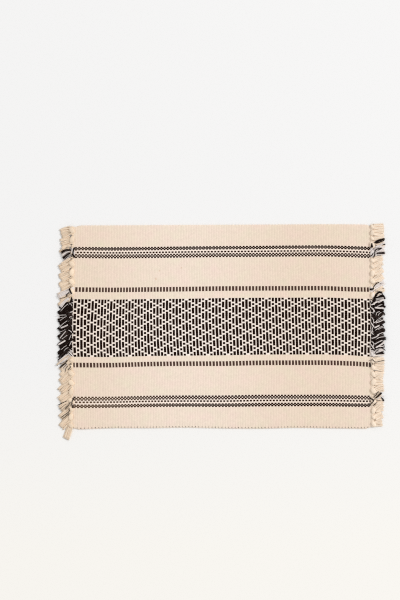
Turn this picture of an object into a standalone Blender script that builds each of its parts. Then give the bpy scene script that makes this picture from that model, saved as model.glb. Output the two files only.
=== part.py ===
"""Woven placemat with a knotted fringe along both short ends. Metres, +Z up.

The mat lies flat on its underside. Its long sides, the selvedges, run along X, the fringes stand off
its ends along X, and the origin is the middle of the underside. The cloth is a warp-faced weave over
thick wefts, so it has one rib for each weft. At each end the warp is gathered into bundles, each
bundle is tied in an overhand knot, and its yarns lie on the table as a tuft.
"""

import math
from typing import NamedTuple

import bmesh
import bpy
import numpy as np
from mathutils import Matrix, Vector

MM = 0.001

# Cloth
LENGTH = 480.0 * MM  # along X, between the two fringed ends
WIDTH = 331.0 * MM  # along Y, between the two selvedges
CREST = 2.8 * MM  # height of a rib
GROOVE = 2.0 * MM  # height between two ribs
RIBS = 182  # one for each thick weft
RIB_DRIFT = (-3.9 * MM, -0.4 * MM, 0.6 * MM, 1.1 * MM, 0.6 * MM)  # of 1, 2, 3 ... half waves along X
RIB_LEAN = 3.0 * MM  # how far a rib at mid length slants, from one selvedge to the other

# Selvedges
EDGE_WALL = 1.3 * MM  # height of the upright part
EDGE_ROUND = 2.4 * MM  # breadth of the part that curves down to it
EDGE_TURN = 0.4 * MM  # how far each weft's turn stands out of the edge
EDGE_BOW = 1.6 * MM  # how far the upper selvedge bulges
EDGE_BOW_SKEW = 1.9  # above one, most of that bulge is in the right half
EDGE_WAVE = 0.9 * MM  # the lower selvedge's waves
EDGE_WAVE_LENGTH = 203.0 * MM
CORNER_PULL = 1.6 * MM  # how far the last knots draw each corner in
CORNER_REACH = 9.0 * MM

# Fringe: a strip of loose warp, then gathers, knots and tufts
CLEARANCE = 0.3 * MM  # between the cloth's end and the strip
STRIP = (1.4 * MM, 1.5 * MM)  # breadth along X, height
STRIP_OVERLAP = 0.9 * MM  # how deep a gather starts inside the strip
KNOT_STANDOFF = 6.6 * MM  # knot's middle from the cloth's end
KNOT_HEIGHT = 6.0 * MM
KNOT_RING = (2.8 * MM, 1.6 * MM)  # radius of the wrap's middle line, radius of the wrapped bundle
KNOT_SIDES = 6  # of the ring, seen along the bundle
KNOT_SECTION_SIDES = 4
KNOT_SLANT = math.radians(24)
KNOT_OTHER_WAY = 3  # every third knot is tied the other way round
BUNDLE = (3.3 * MM, 2.3 * MM)  # breadth and height of the bundle inside the knot
BUNDLE_FLOOR = 0.9 * MM  # the bundle's underside where it leaves the knot
BUNDLE_REACH = 3.6 * MM  # how far it runs past the knot's middle
GATHER_FILL = 0.80  # share of its own stretch of the edge that a gather takes up
GATHER_FLOOR = 0.15 * MM  # heights of its lower and upper face where it starts
GATHER_HEIGHT = 1.2 * MM

# Tufts
STRANDS = 5
TUFT_END = 25.4 * MM  # where the tufts are trimmed, from the cloth's end
TUFT_UNEVEN = 1.0 * MM
TUFT_SPREAD = 0.175  # distance between strand tips, as a share of the tassel's own stretch,
TUFT_SPACING = 1.9 * MM  # and the most that it may be
STRAND_FILL = 0.66  # a strand's breadth as a share of that distance
STRAND_ROOT = (2.2 * MM, 1.6 * MM)  # where a strand starts: past the knot's middle, height
STRAND_ROOT_SPACING = 0.64 * MM
STRAND_ROOT_BREADTH = 0.5 * MM
STRAND_LANDING = 8.4 * MM  # where it comes down on the table, past the knot's middle
STRAND_HEIGHT = 0.9  # height as a share of breadth
SEED = 11

LEVEL_NORMAL = 0.9  # a face whose normal has at least this much Z is level
WELD = 0.001 * MM  # joins the loose caps of a swept curve


class Section(NamedTuple):
    """A stretch of a fringe whose tufts lie alike, named for the stripes that run into it."""

    stripe: str
    tassels: int
    top: float  # Y of its upper end
    bottom: float  # Y of its lower end
    lean_top: float  # degrees from straight out, up on the right and down on the left
    lean_bottom: float


# fmt: off
RIGHT_FRINGE = (
    #       stripe         tassels   top          bottom     leans
    Section("upper border",   3,  164.5 * MM,  140.6 * MM,   -2,   6),
    Section("upper chains",   2,  140.6 * MM,  113.2 * MM,   11,  15),
    Section("upper ground",   4,  113.2 * MM,   68.5 * MM,   18,  34),
    Section("upper ladder",   1,   68.5 * MM,   57.9 * MM,   34,  34),
    Section("lozenge band",   9,   57.9 * MM,  -49.5 * MM,   34,  12),
    Section("lower ladder",   2,  -49.5 * MM,  -70.6 * MM,    4,  -6),
    Section("lower ground",   3,  -70.6 * MM, -110.5 * MM,  -12,   4),
    Section("lower chains",   1, -110.5 * MM, -129.2 * MM,   17,  17),
    Section("lower border",   3, -129.2 * MM, -163.0 * MM,   30,  14),
)
LEFT_FRINGE = (
    Section("upper border",   2,  164.0 * MM,  134.1 * MM,   14,  20),
    Section("upper chains",   1,  134.1 * MM,  110.3 * MM,   24,  24),
    Section("upper ground",   3,  110.3 * MM,   65.7 * MM,   26,  24),
    Section("upper ladder",   1,   65.7 * MM,   49.8 * MM,   25,  25),
    Section("lozenge band",   8,   49.8 * MM,  -49.5 * MM,   28,  40),
    Section("lower ladder",   2,  -49.5 * MM,  -67.4 * MM,   42,  44),
    Section("lower ground",   3,  -67.4 * MM, -112.9 * MM,   46,  34),
    Section("lower chains",   2, -112.9 * MM, -138.5 * MM,   36,  40),
    Section("lower border",   2, -138.5 * MM, -165.5 * MM,   44,  54),
)
# fmt: on

COTTON_COLOUR = (0.846, 0.708, 0.578, 1.0)
FRINGE_COLOUR = (0.760, 0.640, 0.525, 1.0)
COTTON_ROUGHNESS = 0.9


class Tassel(NamedTuple):
    """One knotted bundle of warp, in the frame of its own end of the mat."""

    middle: float  # Y where its gather leaves the cloth
    stretch: float  # length of edge that it gathers
    lean: float  # radians, positive towards +Y


def clear_scene():
    for existing in list(bpy.data.objects):
        bpy.data.objects.remove(existing, do_unlink=True)


def new_collection(name):
    collection = bpy.data.collections.new(name)
    bpy.context.scene.collection.children.link(collection)
    return collection


def cotton(name, colour):
    """Undyed cotton yarn: matt, and a little off white."""
    material = bpy.data.materials.new(name)
    material.use_nodes = True
    shader = material.node_tree.nodes["Principled BSDF"]
    shader.inputs["Base Color"].default_value = colour
    shader.inputs["Roughness"].default_value = COTTON_ROUGHNESS
    shader.inputs["Metallic"].default_value = 0.0
    return material


def add_object(name, body, collection):
    """An object with the mesh in body, which it frees."""
    mesh = bpy.data.meshes.new(name)
    body.to_mesh(mesh)
    body.free()
    made = bpy.data.objects.new(name, mesh)
    collection.objects.link(made)
    return made


# --- Cloth -------------------------------------------------------------------------------------------


def rib_drift(along):
    """How far the ribs are off an even spacing at this fraction of the length: a short sine series."""
    return sum(size * math.sin((turn + 1) * math.pi * along) for turn, size in enumerate(RIB_DRIFT))


def selvedge(along, upper):
    """Y of the upper or lower selvedge at this fraction of the length."""
    x = (along - 0.5) * LENGTH
    corner = math.exp(-(LENGTH / 2 - abs(x)) / CORNER_REACH)
    if upper:
        return WIDTH / 2 + EDGE_BOW * math.sin(math.pi * along**EDGE_BOW_SKEW) - CORNER_PULL * corner
    return -WIDTH / 2 - EDGE_WAVE * math.cos(2 * math.pi * x / EDGE_WAVE_LENGTH) + CORNER_PULL * corner


def cloth_point(column, row):
    """A point of the upper face. Columns alternate between grooves and crests, and the outer two of
    the four rows are the selvedges."""
    along = column / (2 * RIBS)
    crest = column % 2 == 1
    lower, upper = selvedge(along, False), selvedge(along, True)
    if crest:
        lower, upper = lower - EDGE_TURN, upper + EDGE_TURN
    y = (lower, lower + EDGE_ROUND, upper - EDGE_ROUND, upper)[row]
    lean = -RIB_LEAN * math.sin(math.pi * along) * y / WIDTH
    x = (along - 0.5) * LENGTH + rib_drift(along) + lean
    if row in (0, 3):
        return Vector((x, y, EDGE_WALL))
    return Vector((x, y, CREST if crest else GROOVE))


def add_cloth(collection):
    """A grid with two columns to a rib, shaped from above and given a flat underside."""
    columns, rows = 2 * RIBS, 3
    body = bmesh.new()
    bmesh.ops.create_grid(body, x_segments=columns, y_segments=rows, size=1.0)
    for vertex in body.verts:
        column = round((vertex.co.x + 1) / 2 * columns)
        row = round((vertex.co.y + 1) / 2 * rows)
        vertex.co = cloth_point(column, row)
    under = bmesh.ops.extrude_face_region(body, geom=body.faces[:])["geom"]
    for vertex in (part for part in under if isinstance(part, bmesh.types.BMVert)):
        vertex.co.z = 0.0
    simplify_underside(body)
    bmesh.ops.recalc_face_normals(body, faces=body.faces[:])
    made = add_object("cloth", body, collection)
    made.data.materials.append(cotton("cream_cotton_weave", COTTON_COLOUR))
    return made


def simplify_underside(body):
    """Joins each column of the flat underside into one face that spans the mat."""

    def inner_lengthwise(edge):
        start, end = (vertex.co for vertex in edge.verts)
        under = all(abs(face.normal.z) > LEVEL_NORMAL for face in edge.link_faces)
        return under and start.z == end.z == 0.0 and abs(start.x - end.x) > abs(start.y - end.y)

    body.normal_update()
    bmesh.ops.dissolve_edges(body, edges=[e for e in body.edges if inner_lengthwise(e)], use_verts=True)


# --- Fringe ------------------------------------------------------------------------------------------


def tassels_of(sections):
    """The tassels of a fringe from its upper end down, evenly spaced within each section."""
    found = []
    for section in sections:
        stretch = (section.top - section.bottom) / section.tassels
        for number in range(section.tassels):
            share = (number + 0.5) / section.tassels
            middle = section.top + (section.bottom - section.top) * share
            lean = section.lean_top + (section.lean_bottom - section.lean_top) * share
            found.append(Tassel(middle, stretch, math.radians(lean)))
    return found


def direction(tassel):
    return Vector((math.cos(tassel.lean), math.sin(tassel.lean), 0.0))


def across(tassel):
    return Vector((-math.sin(tassel.lean), math.cos(tassel.lean), 0.0))


def knot_middle(tassel):
    return Vector((KNOT_STANDOFF, tassel.middle, 0.0))


def add_strip(body, tassels):
    """The loose warp just outside the cloth, as one bar along the whole end."""
    breadth, height = STRIP
    upper = tassels[0].middle + tassels[0].stretch / 2
    lower = tassels[-1].middle - tassels[-1].stretch / 2
    place = Matrix.Translation((CLEARANCE + breadth / 2, (upper + lower) / 2, height / 2))
    bmesh.ops.create_cube(body, size=1.0, matrix=place @ Matrix.Diagonal((breadth, upper - lower, height, 1)))


def add_gather(body, tassel):
    """A block that tapers from the strip, where it is as broad as its bundle's warp lies in the cloth,
    to the bundle that comes out of the knot."""
    start = Vector((CLEARANCE + STRIP[0] - STRIP_OVERLAP, tassel.middle, 0.0))
    end = knot_middle(tassel) + direction(tassel) * BUNDLE_REACH
    half_gather = Vector((0.0, tassel.stretch * GATHER_FILL / 2, 0.0))
    half_bundle = across(tassel) * (BUNDLE[0] / 2)
    for vertex in bmesh.ops.create_cube(body, size=1.0)["verts"]:
        outer, side, upper = (1 if part > 0 else -1 for part in vertex.co)
        if outer > 0:
            vertex.co = end + half_bundle * side
            vertex.co.z = BUNDLE_FLOOR + (BUNDLE[1] if upper > 0 else 0.0)
        else:
            vertex.co = start + half_gather * side
            vertex.co.z = GATHER_HEIGHT if upper > 0 else GATHER_FLOOR


def add_knot(body, tassel, turn):
    """The wrap of an overhand knot around its bundle: a flattened ring that is slanted to one side and
    stands on one of its flats. turn is 1 or -1, the way in which the knot is tied."""
    ring = bpy.data.meshes["knot_ring"]
    half_side = math.pi / KNOT_SIDES
    flatten = KNOT_HEIGHT / (2 * (KNOT_RING[0] + KNOT_RING[1]) * math.cos(half_side))
    place = (
        Matrix.Translation(knot_middle(tassel) + Vector((0.0, 0.0, KNOT_HEIGHT / 2)))
        @ Matrix.Diagonal((1.0, 1.0, flatten, 1.0))
        @ Matrix.Rotation(tassel.lean + turn * KNOT_SLANT, 4, "Z")
        @ Matrix.Rotation(math.pi / 2, 4, "Y")
        @ Matrix.Rotation(half_side, 4, "Z")
    )
    first = len(body.verts)
    body.from_mesh(ring)
    body.verts.ensure_lookup_table()
    bmesh.ops.transform(body, matrix=place, verts=body.verts[first:])


def knot_ring_mesh():
    """The ring that every knot copies."""
    bpy.ops.mesh.primitive_torus_add(
        major_segments=KNOT_SIDES,
        minor_segments=KNOT_SECTION_SIDES,
        major_radius=KNOT_RING[0],
        minor_radius=KNOT_RING[1],
    )
    ring = bpy.context.object
    ring.data.name = "knot_ring"
    ring.data.use_fake_user = True
    bpy.data.objects.remove(ring)


def strand_profile(collection):
    """A strand's section, one unit broad, with its flat side on the curve that it follows."""
    curve = bpy.data.curves.new("strand_profile", "CURVE")
    curve.dimensions = "2D"
    outline = curve.splines.new("POLY")
    outline.points.add(2)
    for point, (x, y) in zip(outline.points, ((-0.5, 0.0), (0.5, 0.0), (0.0, STRAND_HEIGHT))):
        point.co = (x, y, 0.0, 1.0)
    outline.use_cyclic_u = True
    profile = bpy.data.objects.new("strand_profile", curve)
    profile.hide_render = True
    collection.objects.link(profile)
    return profile


def strand_route(tassel, number, uneven):
    """Points and breadths of one strand: out of the knot, down to the table, and along it to the trim."""
    place = number - (STRANDS - 1) / 2
    spacing = min(TUFT_SPACING, TUFT_SPREAD * tassel.stretch * math.cos(tassel.lean))
    breadth = spacing * STRAND_FILL
    ahead, aside, knot = direction(tassel), across(tassel), knot_middle(tassel)
    root = knot + ahead * STRAND_ROOT[0] + aside * STRAND_ROOT_SPACING * place
    root.z = STRAND_ROOT[1]
    full_length = (TUFT_END - KNOT_STANDOFF) / ahead.x
    tip = knot + ahead * full_length + aside * spacing * place
    tip += ahead * ((TUFT_END + uneven - tip.x) / ahead.x)
    landing_share = (STRAND_LANDING - STRAND_ROOT[0]) / (full_length - STRAND_ROOT[0])
    landing = root.lerp(tip, landing_share)
    landing.z = 0.0
    landing_breadth = STRAND_ROOT_BREADTH + (breadth - STRAND_ROOT_BREADTH) * landing_share
    return ((root, STRAND_ROOT_BREADTH), (landing, landing_breadth), (tip, breadth))


def add_strands(body, tassels, number, profile, collection, chance):
    """One strand of every tassel, swept along its route and made a mesh."""
    curve = bpy.data.curves.new("strands", "CURVE")
    curve.dimensions = "3D"
    curve.twist_mode = "Z_UP"
    curve.bevel_mode = "OBJECT"
    curve.bevel_object = profile
    curve.use_fill_caps = True
    for tassel in tassels:
        route = strand_route(tassel, number, chance.uniform(-1, 1) * TUFT_UNEVEN)
        spline = curve.splines.new("POLY")
        spline.points.add(len(route) - 1)
        for point, (place, breadth) in zip(spline.points, route):
            point.co = (*place, 1.0)
            point.radius = breadth
    swept = bpy.data.objects.new("strands", curve)
    collection.objects.link(swept)
    graph = bpy.context.evaluated_depsgraph_get()
    mesh = bpy.data.meshes.new_from_object(swept.evaluated_get(graph))
    body.from_mesh(mesh)
    bmesh.ops.remove_doubles(body, verts=body.verts[:], dist=WELD)
    bpy.data.objects.remove(swept)


def turn_to_left(body):
    """Turns a fringe built for the right-hand end half round the origin's Z axis."""
    bmesh.ops.transform(body, matrix=Matrix.Rotation(math.pi, 4, "Z"), verts=body.verts[:])


def add_fringe(name, sections, on_left, profile, collection, cutters):
    """A fringe as one solid: the strip, then layers of pieces that each join it by a union.

    It is built for the right-hand end. A left-hand fringe is the same thing turned half round, so its
    sections are taken from the bottom up, and a lean down on the left is a lean up before the turn.
    """
    tassels = tassels_of(sections)
    if on_left:
        tassels = [Tassel(-t.middle, t.stretch, t.lean) for t in reversed(tassels)]
    chance = np.random.default_rng(SEED + on_left)
    layers = ["strip", "gathers", "knots"] + [f"strands_{number}" for number in range(STRANDS)]
    made = None
    for layer in layers:
        body = bmesh.new()
        if layer == "strip":
            add_strip(body, tassels)
        elif layer == "gathers":
            for tassel in tassels:
                add_gather(body, tassel)
        elif layer == "knots":
            for order, tassel in enumerate(tassels):
                add_knot(body, tassel, 1 if order % KNOT_OTHER_WAY else -1)
        else:
            add_strands(body, tassels, int(layer[-1]), profile, cutters, chance)
        bmesh.ops.recalc_face_normals(body, faces=body.faces[:])
        bmesh.ops.translate(body, vec=(LENGTH / 2, 0.0, 0.0), verts=body.verts[:])
        if on_left:
            turn_to_left(body)
        if made is None:
            made = add_object(name, body, collection)
            continue
        piece = add_object(f"{name}_{layer}", body, cutters)
        piece.hide_render = True
        piece.display_type = "WIRE"
        union = made.modifiers.new(layer, "BOOLEAN")
        union.operation = "UNION"
        union.solver = "EXACT"
        union.object = piece
    made.data.materials.append(cotton(f"{name}_yarn", FRINGE_COLOUR))
    return made


def main():
    clear_scene()
    placemat = new_collection("fabric_placemat")
    cutters = new_collection("cutters")
    add_cloth(placemat)
    knot_ring_mesh()
    profile = strand_profile(cutters)
    add_fringe("fringe_right", RIGHT_FRINGE, False, profile, placemat, cutters)
    add_fringe("fringe_left", LEFT_FRINGE, True, profile, placemat, cutters)


main()
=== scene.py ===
"""A ribbed cotton placemat with a knotted fringe at both ends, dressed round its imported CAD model.

Metres, +Z up. The warp runs along X and ends in the fringes; each thick weft makes one rib along Y.
Positions across the mat are called warp places and are given in millimetres from its middle line,
as the cloth was on the loom. Surveys of the cloth as it lies say how far it strays from that.
"""

import logging
import math
from collections.abc import Sequence
from dataclasses import dataclass, field
from enum import Enum, IntEnum

import bpy
import numpy as np
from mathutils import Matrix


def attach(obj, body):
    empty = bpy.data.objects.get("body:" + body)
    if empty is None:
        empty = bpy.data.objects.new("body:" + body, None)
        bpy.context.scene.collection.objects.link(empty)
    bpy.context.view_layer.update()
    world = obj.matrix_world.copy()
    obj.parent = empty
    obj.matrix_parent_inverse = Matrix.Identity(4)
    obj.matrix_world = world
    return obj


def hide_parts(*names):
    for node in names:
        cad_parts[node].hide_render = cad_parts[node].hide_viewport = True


MM = 0.001
TAU = 2.0 * math.pi
GOLDEN = 0.618  # steps of the golden ratio spread any share evenly
LOBE = 0.125  # how much a lobed profile shrinks midway between its lobes
LOG = logging.getLogger("placemat")

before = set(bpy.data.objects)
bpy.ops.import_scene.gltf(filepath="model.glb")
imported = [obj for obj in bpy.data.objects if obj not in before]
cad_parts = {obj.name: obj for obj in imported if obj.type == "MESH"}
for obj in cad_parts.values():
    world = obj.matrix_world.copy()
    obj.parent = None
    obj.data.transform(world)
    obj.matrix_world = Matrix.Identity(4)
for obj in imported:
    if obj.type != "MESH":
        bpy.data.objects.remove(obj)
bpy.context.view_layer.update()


class Side(Enum):
    """Which end of the mat, as the sign of its X."""

    LEFT = -1
    RIGHT = 1


class Yarn(IntEnum):
    """What a yarn is dyed, as its place in a fringe's list of materials."""

    UNDYED = 0
    BLACK = 1
    LINTED = 2


class Zone(IntEnum):
    """What the warp is dyed for."""

    GROUND = 0
    BAND = 1
    STRIPE = 2


class Ribs(Enum):
    """The two kinds of rib, which take turns: a pick-up weave shows its dark floats on one or the other."""

    EVEN = 0
    ODD = 1


# ---------------------------------------------------------------- shapes


def through(at: np.ndarray, stations: np.ndarray, readings: np.ndarray) -> np.ndarray:
    """A smooth curve through readings: cubic pieces whose slope at a station is the central difference.

    Args:
        at: Places to work it out at, one axis.
        stations: Where the readings were taken, rising.
        readings: One reading a station along the first axis, with any further axes.

    Returns:
        The curve's values, one along the first axis for each place.
    """
    slopes = np.gradient(readings, stations, axis=0)
    k = np.clip(np.searchsorted(stations, at) - 1, 0, len(stations) - 2)
    span = stations[k + 1] - stations[k]
    shape = (len(at),) + (1,) * (readings.ndim - 1)
    t = ((at - stations[k]) / span).reshape(shape)
    span = span.reshape(shape)
    start = (2 * t**3 - 3 * t**2 + 1) * readings[k] + (t**3 - 2 * t**2 + t) * span * slopes[k]
    end = (3 * t**2 - 2 * t**3) * readings[k + 1] + (t**3 - t**2) * span * slopes[k + 1]
    return start + end


def ease(t: np.ndarray) -> np.ndarray:
    """Zero below 0, one above 1, and 3t squared less 2t cubed between."""
    t = np.clip(t, 0.0, 1.0)
    return t * t * (3.0 - 2.0 * t)


def unit(vectors: np.ndarray) -> np.ndarray:
    """Each vector over its own length."""
    return vectors / np.linalg.norm(vectors, axis=-1, keepdims=True)


@dataclass(frozen=True)
class Survey:
    """How far the cloth strays from even spacing, read along a few warp places, in millimetres."""

    stations: tuple[float, ...]  # share of the length, from the left end
    lines: tuple[float, ...]  # warp places, rising
    readings: tuple[tuple[float, ...], ...]  # one row a line

    def at(self, share: np.ndarray, place: np.ndarray) -> np.ndarray:
        """The smooth surface through the readings: first along each line, then across the lines.

        Args:
            share: Shares of the length, one axis.
            place: Warp places, one axis.

        Returns:
            Millimetres, with a row for each share and a column for each warp place.
        """
        along = through(share, np.array(self.stations), np.array(self.readings).T)
        return through(place, np.array(self.lines), along.T).T


@dataclass
class Surface:
    """Faces with their corners' pattern coordinates, gathered part by part into one mesh."""

    points: list[np.ndarray] = field(default_factory=list)
    faces: list[list[int]] = field(default_factory=list)
    corners: list[np.ndarray] = field(default_factory=list)
    finishes: list[np.ndarray] = field(default_factory=list)
    shades: list[np.ndarray] = field(default_factory=list)
    count: int = 0

    def tubes(self, points: np.ndarray, lengths: np.ndarray, finish: np.ndarray, shade: np.ndarray) -> None:
        """Adds tubes that are grids of rings, each closed round and capped at both ends.

        Args:
            points: Tube, ring, side, XYZ.
            lengths: Millimetres along each tube, tube by ring.
            finish: Material number, tube by side.
            shade: How light each tube is, from -1 to 1.
        """
        tubes, rings, sides, _ = points.shape
        index = self.count + np.arange(tubes * rings * sides).reshape(tubes, rings, sides)
        here, there = index[:, :-1], index[:, 1:]
        quads = np.stack([here, there, np.roll(there, -1, 2), np.roll(here, -1, 2)], -1)
        turn = np.broadcast_to(np.arange(sides) / sides, here.shape)
        along = np.broadcast_to(lengths[:, :, None], index.shape)
        u = np.stack([along[:, :-1], along[:, 1:], along[:, 1:], along[:, :-1]], -1)
        v = np.stack([turn, turn, turn + 1 / sides, turn + 1 / sides], -1)
        self.faces += quads.reshape(-1, 4).tolist()
        self.corners.append(np.stack([u, v], -1).reshape(-1, 2))
        self.finishes.append(np.broadcast_to(finish[:, None, :], here.shape).ravel())
        caps = np.stack([index[:, 0], index[:, -1, ::-1]], 1)
        self.faces += caps.reshape(-1, sides).tolist()
        ends = np.stack([lengths[:, 0], lengths[:, -1]], 1)
        ends = np.broadcast_to(ends[:, :, None], (tubes, 2, sides))
        self.corners.append(np.stack([ends, np.zeros_like(ends)], -1).reshape(-1, 2))
        self.finishes.append(np.repeat(finish[:, 0], 2))
        self.points.append(points.reshape(-1, 3))
        self.shades.append(np.repeat(shade, rings * sides))
        self.count += index.size

    def piece(self, name: str, pattern: str, materials: list[bpy.types.Material]) -> bpy.types.Object:
        """Makes the object, smooth shaded, with its pattern coordinates and materials.

        Args:
            name: The piece's name.
            pattern: The UV map's name.
            materials: Its materials, in the order that finishes count them.

        Returns:
            The object, at the origin.
        """
        mesh = bpy.data.meshes.new(name)
        mesh.from_pydata(np.concatenate(self.points).tolist(), [], self.faces)
        for material in materials:
            mesh.materials.append(material)
        mesh.polygons.foreach_set("material_index", np.concatenate(self.finishes).astype(np.int32))
        mesh.polygons.foreach_set("use_smooth", np.ones(len(mesh.polygons), bool))
        uv = mesh.uv_layers.new(name=pattern)
        uv.data.foreach_set("uv", np.concatenate(self.corners).astype(np.float32).ravel())
        if self.shades:
            layer = mesh.attributes.new("shade", "FLOAT", "POINT")
            layer.data.foreach_set("value", np.concatenate(self.shades).astype(np.float32))
        mesh.update()
        made = bpy.data.objects.new(name, mesh)
        bpy.context.scene.collection.objects.link(made)
        return made


def sweep(
    paths: np.ndarray,
    across: np.ndarray,
    upright: np.ndarray,
    sides: int,
    reference: np.ndarray,
    lobes: int = 0,
) -> np.ndarray:
    """Carries a profile along many paths at once.

    A ring's point is path + across cos(a) s + upright sin(a) n, where s is the tangent crossed with the
    reference, n is s crossed with the tangent, and a goes once round. With lobes, both sizes shrink by
    LOBE midway between them, as between yarns that lie side by side in a bundle.

    Args:
        paths: Path, ring, XYZ.
        across: Half breadth, path by ring.
        upright: Half height, path by ring.
        sides: Points in a ring.
        reference: A direction that no path runs along, which broadcasts to paths.
        lobes: Yarns in the profile, or 0 for a plain one.

    Returns:
        Path, ring, side, XYZ.
    """
    tangent = unit(np.gradient(paths, axis=1))
    side = unit(np.cross(tangent, np.broadcast_to(reference, paths.shape)))
    normal = np.cross(side, tangent)
    a = TAU * np.arange(sides) / sides
    swell = 1.0 - 0.5 * LOBE * (1.0 - np.cos(lobes * a)) if lobes else np.ones(sides)
    s = (across[:, :, None] * swell * np.cos(a))[..., None] * side[:, :, None, :]
    n = (upright[:, :, None] * swell * np.sin(a))[..., None] * normal[:, :, None, :]
    return paths[:, :, None, :] + s + n


def run_length(paths: np.ndarray) -> np.ndarray:
    """Millimetres along each path, zero at its first point."""
    steps = np.linalg.norm(np.diff(paths, axis=1), axis=-1) / MM
    return np.concatenate([np.zeros((len(paths), 1)), np.cumsum(steps, axis=1)], axis=1)


# ---------------------------------------------------------------- materials


MATH = "ShaderNodeMath"
MIX = "ShaderNodeMix"
MIX_A, MIX_B, MIXED = 6, 7, 2  # a colour mix's two inputs and its output, by number


def linear(code: str) -> tuple[float, float, float, float]:
    """An sRGB hex value as linear light: below 0.04045 over 12.92, above it the 2.4 power law.

    Args:
        code: Six hex digits.

    Returns:
        Red, green, blue and an alpha of one.
    """
    channels = [int(code[i : i + 2], 16) / 255.0 for i in (0, 2, 4)]
    light = [c / 12.92 if c <= 0.04045 else ((c + 0.055) / 1.055) ** 2.4 for c in channels]
    return (light[0], light[1], light[2], 1.0)


class Graph:
    """A material's node tree and its one way of adding a node."""

    def __init__(self, name: str) -> None:
        """Starts a material with its shader and output.

        Args:
            name: The material's name.
        """
        self.material = bpy.data.materials.new(name)
        self.material.use_nodes = True
        self.nodes = self.material.node_tree.nodes
        self.shader = self.nodes["Principled BSDF"]

    def add(self, kind: str, *inputs: object, at: dict | None = None, **settings: object) -> bpy.types.Node:
        """Adds a node with its settings, and feeds its inputs.

        Args:
            kind: The node's type.
            inputs: Values, sockets or nodes for its first inputs, in order.
            at: The same for inputs by number or name.
            settings: The node's own properties.

        Returns:
            The node.
        """
        node = self.nodes.new(kind)
        for name, value in settings.items():
            setattr(node, name, value)
        for key, value in [*enumerate(inputs), *(at or {}).items()]:
            self.feed(node.inputs[key], value)
        return node

    def feed(self, socket: bpy.types.NodeSocket, value: object) -> None:
        """Links a socket to another socket or to a node's first output, or sets its value.

        Args:
            socket: The input.
            value: What it gets.
        """
        if isinstance(value, bpy.types.Node):
            value = value.outputs[0]
        if isinstance(value, bpy.types.NodeSocket):
            self.material.node_tree.links.new(value, socket)
        else:
            socket.default_value = value

    def dress(self, **inputs: object) -> bpy.types.Material:
        """Feeds the shader's inputs.

        Args:
            inputs: Values, sockets or nodes by the inputs' names, with _ for a space.

        Returns:
            The material.
        """
        for name, value in inputs.items():
            self.feed(self.shader.inputs[name.replace("_", " ")], value)
        return self.material

    def arch(self, value: object, power: float) -> bpy.types.Node:
        """A rounded arch over each unit: the sine of a half turn for each, made positive, to a power.

        Args:
            value: What it runs along, as a socket or node.
            power: 1 keeps the sine, less is flatter.

        Returns:
            The node, 0 at each whole number and 1 halfway.
        """
        wave = self.add(MATH, value, math.pi, operation="MULTIPLY")
        wave = self.add(MATH, self.add(MATH, wave, operation="SINE"), operation="ABSOLUTE")
        return self.add(MATH, wave, power, operation="POWER")


@dataclass(frozen=True)
class Chart:
    """The weaver's chart: which rows of warp show dark floats on which ribs. Millimetres of warp place."""

    rib: float = 2.6  # from one rib to the next
    row: float = 3.02  # one row of floats
    band_first: float = 43.3  # middle of the lozenge band's first row
    band_rows: int = 31
    repeat: int = 6  # rows and rib pairs from one lozenge's middle to the next
    offset: float = 1.0  # rib pairs from a lozenge's middle to the first pair at the left end
    float_reach: float = 0.75  # half breadth of a lozenge's float, in ribs, halfway down its row
    float_cut: float = 0.05  # how much less it is at the row's edges
    cut_power: float = 4.0  # how suddenly it shrinks there
    bulge_from: float = 0.36  # how near a row's edge black floats bulge over an undyed one, from 0 to 1
    stripe_reach: float = 0.65  # half breadth of a ladder's or chain's float, in ribs
    ladders: tuple[tuple[float, float, Ribs], ...] = ((60.5, 7.7, Ribs.EVEN), (-62.0, 7.7, Ribs.ODD))
    chains_middle: float = -1.025  # halfway between the dot rows of the two pairs of chains
    chains_out: float = 121.775  # from there to each dot row
    links: tuple[tuple[float, float, Ribs], ...] = (  # rows outwards from the dot row: place, height, ribs
        (-7.85, 2.8, Ribs.EVEN),
        (-5.8, 2.7, Ribs.ODD),
        (-3.7, 2.5, Ribs.EVEN),
        (0.0, 2.8, Ribs.ODD),
        (4.65, 2.5, Ribs.EVEN),
        (6.35, 2.6, Ribs.ODD),
        (7.95, 2.8, Ribs.EVEN),
    )
    chain_half: float = 9.6  # half breadth of the paler ground round a pair of chains
    chain_dyed: float = 7.4  # how far from the dot row its tassels take black yarns
    fault: tuple[float, float] = (7.74, 0.26)  # a weaving slip in the band: middle and half breadth, in ribs
    fault_fold: float = 2.0  # the rows that it shows in, counted from a lozenge's middle
    hole_line: tuple[float, float] = (-164.0, 0.8)  # holes by the near selvedge: middle and half breadth
    neps: tuple[tuple[float, float, float], ...] = (  # seed flecks: ribs from the left end, place and reach
        (51.3, 77.7, 2.4),
        (53.5, 90.7, 1.7),
        (67.2, 95.2, 1.7),
    )
    nep_core: float = 0.2  # share of a fleck's reach within which it shows most
    nep_cover: float = 0.45  # how far it covers the ground there
    hole_reach: tuple[float, float] = (0.15, 0.45)  # half breadths of a hole's painted shade, in ribs: at full strength, and in all how much the holes' painted shade differs, and the least of it
    hole_shade_range: tuple[float, float] = (0.55, 0.45)  # how much holes differ, and the least that one is open

    def zone(self, place: np.ndarray) -> np.ndarray:
        """What the warp is dyed for at some places.

        Args:
            place: Warp places.

        Returns:
            Numbers of zones, in that shape.
        """
        half = self.row * self.band_rows / 2
        middle = self.band_first + self.row / 2 - half
        kind = np.where(np.abs(place - middle) < half, Zone.BAND, Zone.GROUND)
        for ladder, height, _ in self.ladders:
            kind = np.where(np.abs(place - ladder) < height / 2, Zone.STRIPE, kind)
        outwards = np.abs(place - self.chains_middle) - self.chains_out
        return np.where(np.abs(outwards) < self.chain_dyed, Zone.STRIPE, kind)


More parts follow.
